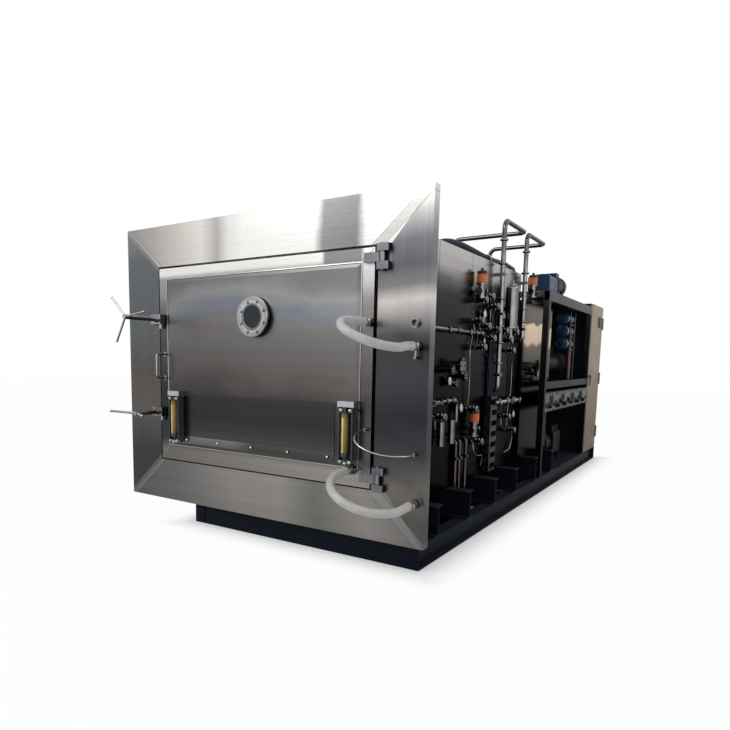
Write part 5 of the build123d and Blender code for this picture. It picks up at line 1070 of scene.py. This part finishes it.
for y, z in zip((1.66, 1.72, 1.78), PUMP_LEVELS):
    bends = [(1.56, z), (y - 0.02, z), (y, z - 0.004), (y, z - 0.05), (y, 1.3), (y, 1.165)]
    pipes.append(rigid_tube("copper", [(PUMP_X, *bend) for bend in bends], 0.028))
done(merge("copper_pipes", *pipes), polished_steel("copper_pipe", 0.6, tint=(0.5, 0.2, 0.13), contrast=1.5))

# %% Glands, grommets and junction boxes on the long tray
TRAY_FACE = 1.02
gland = turned("gland", [(0.026, 0), (0.026, 0.01), (0.02, 0.012), (0.02, 0.022), (0.012, 0.03)], 12)
gland_places = [at(TRAY_FACE, 0.2 + 0.165 * k, 0.905 + 0.035 * (k % 2), "right", 1.15 + 0.12 * (k % 3))
    for k in range(11)]
done(repeat("tray_glands", gland, gland_places), paint("gland_black", (0.012, 0.012, 0.013), 0.4))
grommet = turned("grommet", [(0.014, 0), (0.014, 0.003), (0.008, 0.004), (0.008, 0.0015)], 14)
grommet_places = [at(TRAY_FACE - 0.001, 0.1 + 0.055 * k, 1.03 - 0.175 * (k % 2), "right",
    0.9 + 0.15 * (k % 3)) for k in range(36)]
done(repeat("tray_grommets", grommet, grommet_places), paint("grommet_black", (0.01, 0.01, 0.011), 0.5))
junctions = [box("junction", (TRAY_FACE - 0.002, y, 0.925), (TRAY_FACE + 0.026, y + 0.12, 1.01), 0.006)
    for y in (0.27, 0.78, 1.27, 1.72)]
done(merge("tray_boxes", *junctions), paint("junction_grey", (0.11, 0.115, 0.12), 0.45))

# %% [markdown]
# ## Skid ends
# The skid's long beams are closed at both ends with a welded plate, so that no dirt collects in them.

# %% End plates
beam_wide, beam_tall, plate_thick = 0.1, 0.166, 0.006
skid_low, skid_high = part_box("skid_frame")
end_plates = []
for x in (skid_low[0], skid_high[0] - beam_wide):
    for y in (skid_low[1] - plate_thick, skid_high[1]):
        end_plates.append(box("plate", (x, y, 0.002), (x + beam_wide, y + plate_thick, beam_tall - 0.002),
            0.002))
done(merge("skid_end_plates", *end_plates), structure_paint)

# %% [markdown]
# ## Cabinet vents
# The control cabinet breathes through louvres: each slat is a thin tilted plate with a rounded edge. They
# don't fit the cabinet yet. Those on the back stand 16 mm off it, and those on the side lie behind the
# closed door's sheet and stay where they are when it opens.

# %% Louvres on the side and the back
def slat(sizes, degrees, axis, place):
    """One tilted slat with rounded edges."""
    plate = begin("cube", "slat", size=1, location=(0, 0, 0))
    plate.data.transform(Matrix.Rotation(math.radians(degrees), 4, axis) @ Matrix.Diagonal((*sizes, 1)))
    soften(plate, 0.0012).data.transform(Matrix.Translation(place))
    return plate


slats = [slat((0.004, 0.15, 0.02), 32, "Y", (1.024, 2.7, 1.86 + 0.02 * k)) for k in range(7)]
slats += [slat((0.24, 0.004, 0.026), -32, "X", (column, 2.958, 0.5 + 0.034 * k))
    for column in (0.1, 0.74) for k in range(12)]
done(merge("cabinet_louvres", *slats), paint("louvre_black", (0.016, 0.016, 0.017), 0.4, dust=0.08))

# %% [markdown]
# ## The floor
# A wide pale floor with faint clouds. It is lit by the lamps, and glows for the camera so that it fades
# into the white backdrop. The glow stops short of the skid, where only the lamps count, so the shadow stays
# dark.

# %% Floor
floor = begin("plane", "studio_floor", size=60, location=(0, 0, 0))
floor_finish = Finish("floor_finish", Roughness=0.6)
floor_cloud = floor_finish.noise((0.8, 0.8, 0.8), 3.0)
floor_finish.feed("Base Color", floor_finish.mix(floor_cloud, (0.9, 0.9, 0.9), (0.84, 0.84, 0.84)))
floor.data.materials.append(floor_finish.material)
glow = floor_finish.node("Emission", inputs={"Color": (1, 1, 1, 1)})
floor_x, floor_y, _ = floor_finish.axes()
past_x, past_y = (floor_finish.spread(abs(along), edge - 0.2, edge + 0.3, smooth=True)
    for along, edge in ((floor_x, 1.02), (floor_y, 2.94)))
past_skid = floor_finish.math("MAXIMUM", past_x, past_y)
glowing = past_skid * 0.97 * floor_finish.node("LightPath", output="Is Camera Ray")
floor_finish.show(glowing, Value(floor_finish, floor_finish.shader.outputs[0]), glow,
    floor_finish.tree.nodes["Material Output"])

# %% [markdown]
# ## The last update
# The view layer is brought up to date once more at the end.

# %% Update the view layer
bpy.context.view_layer.update()
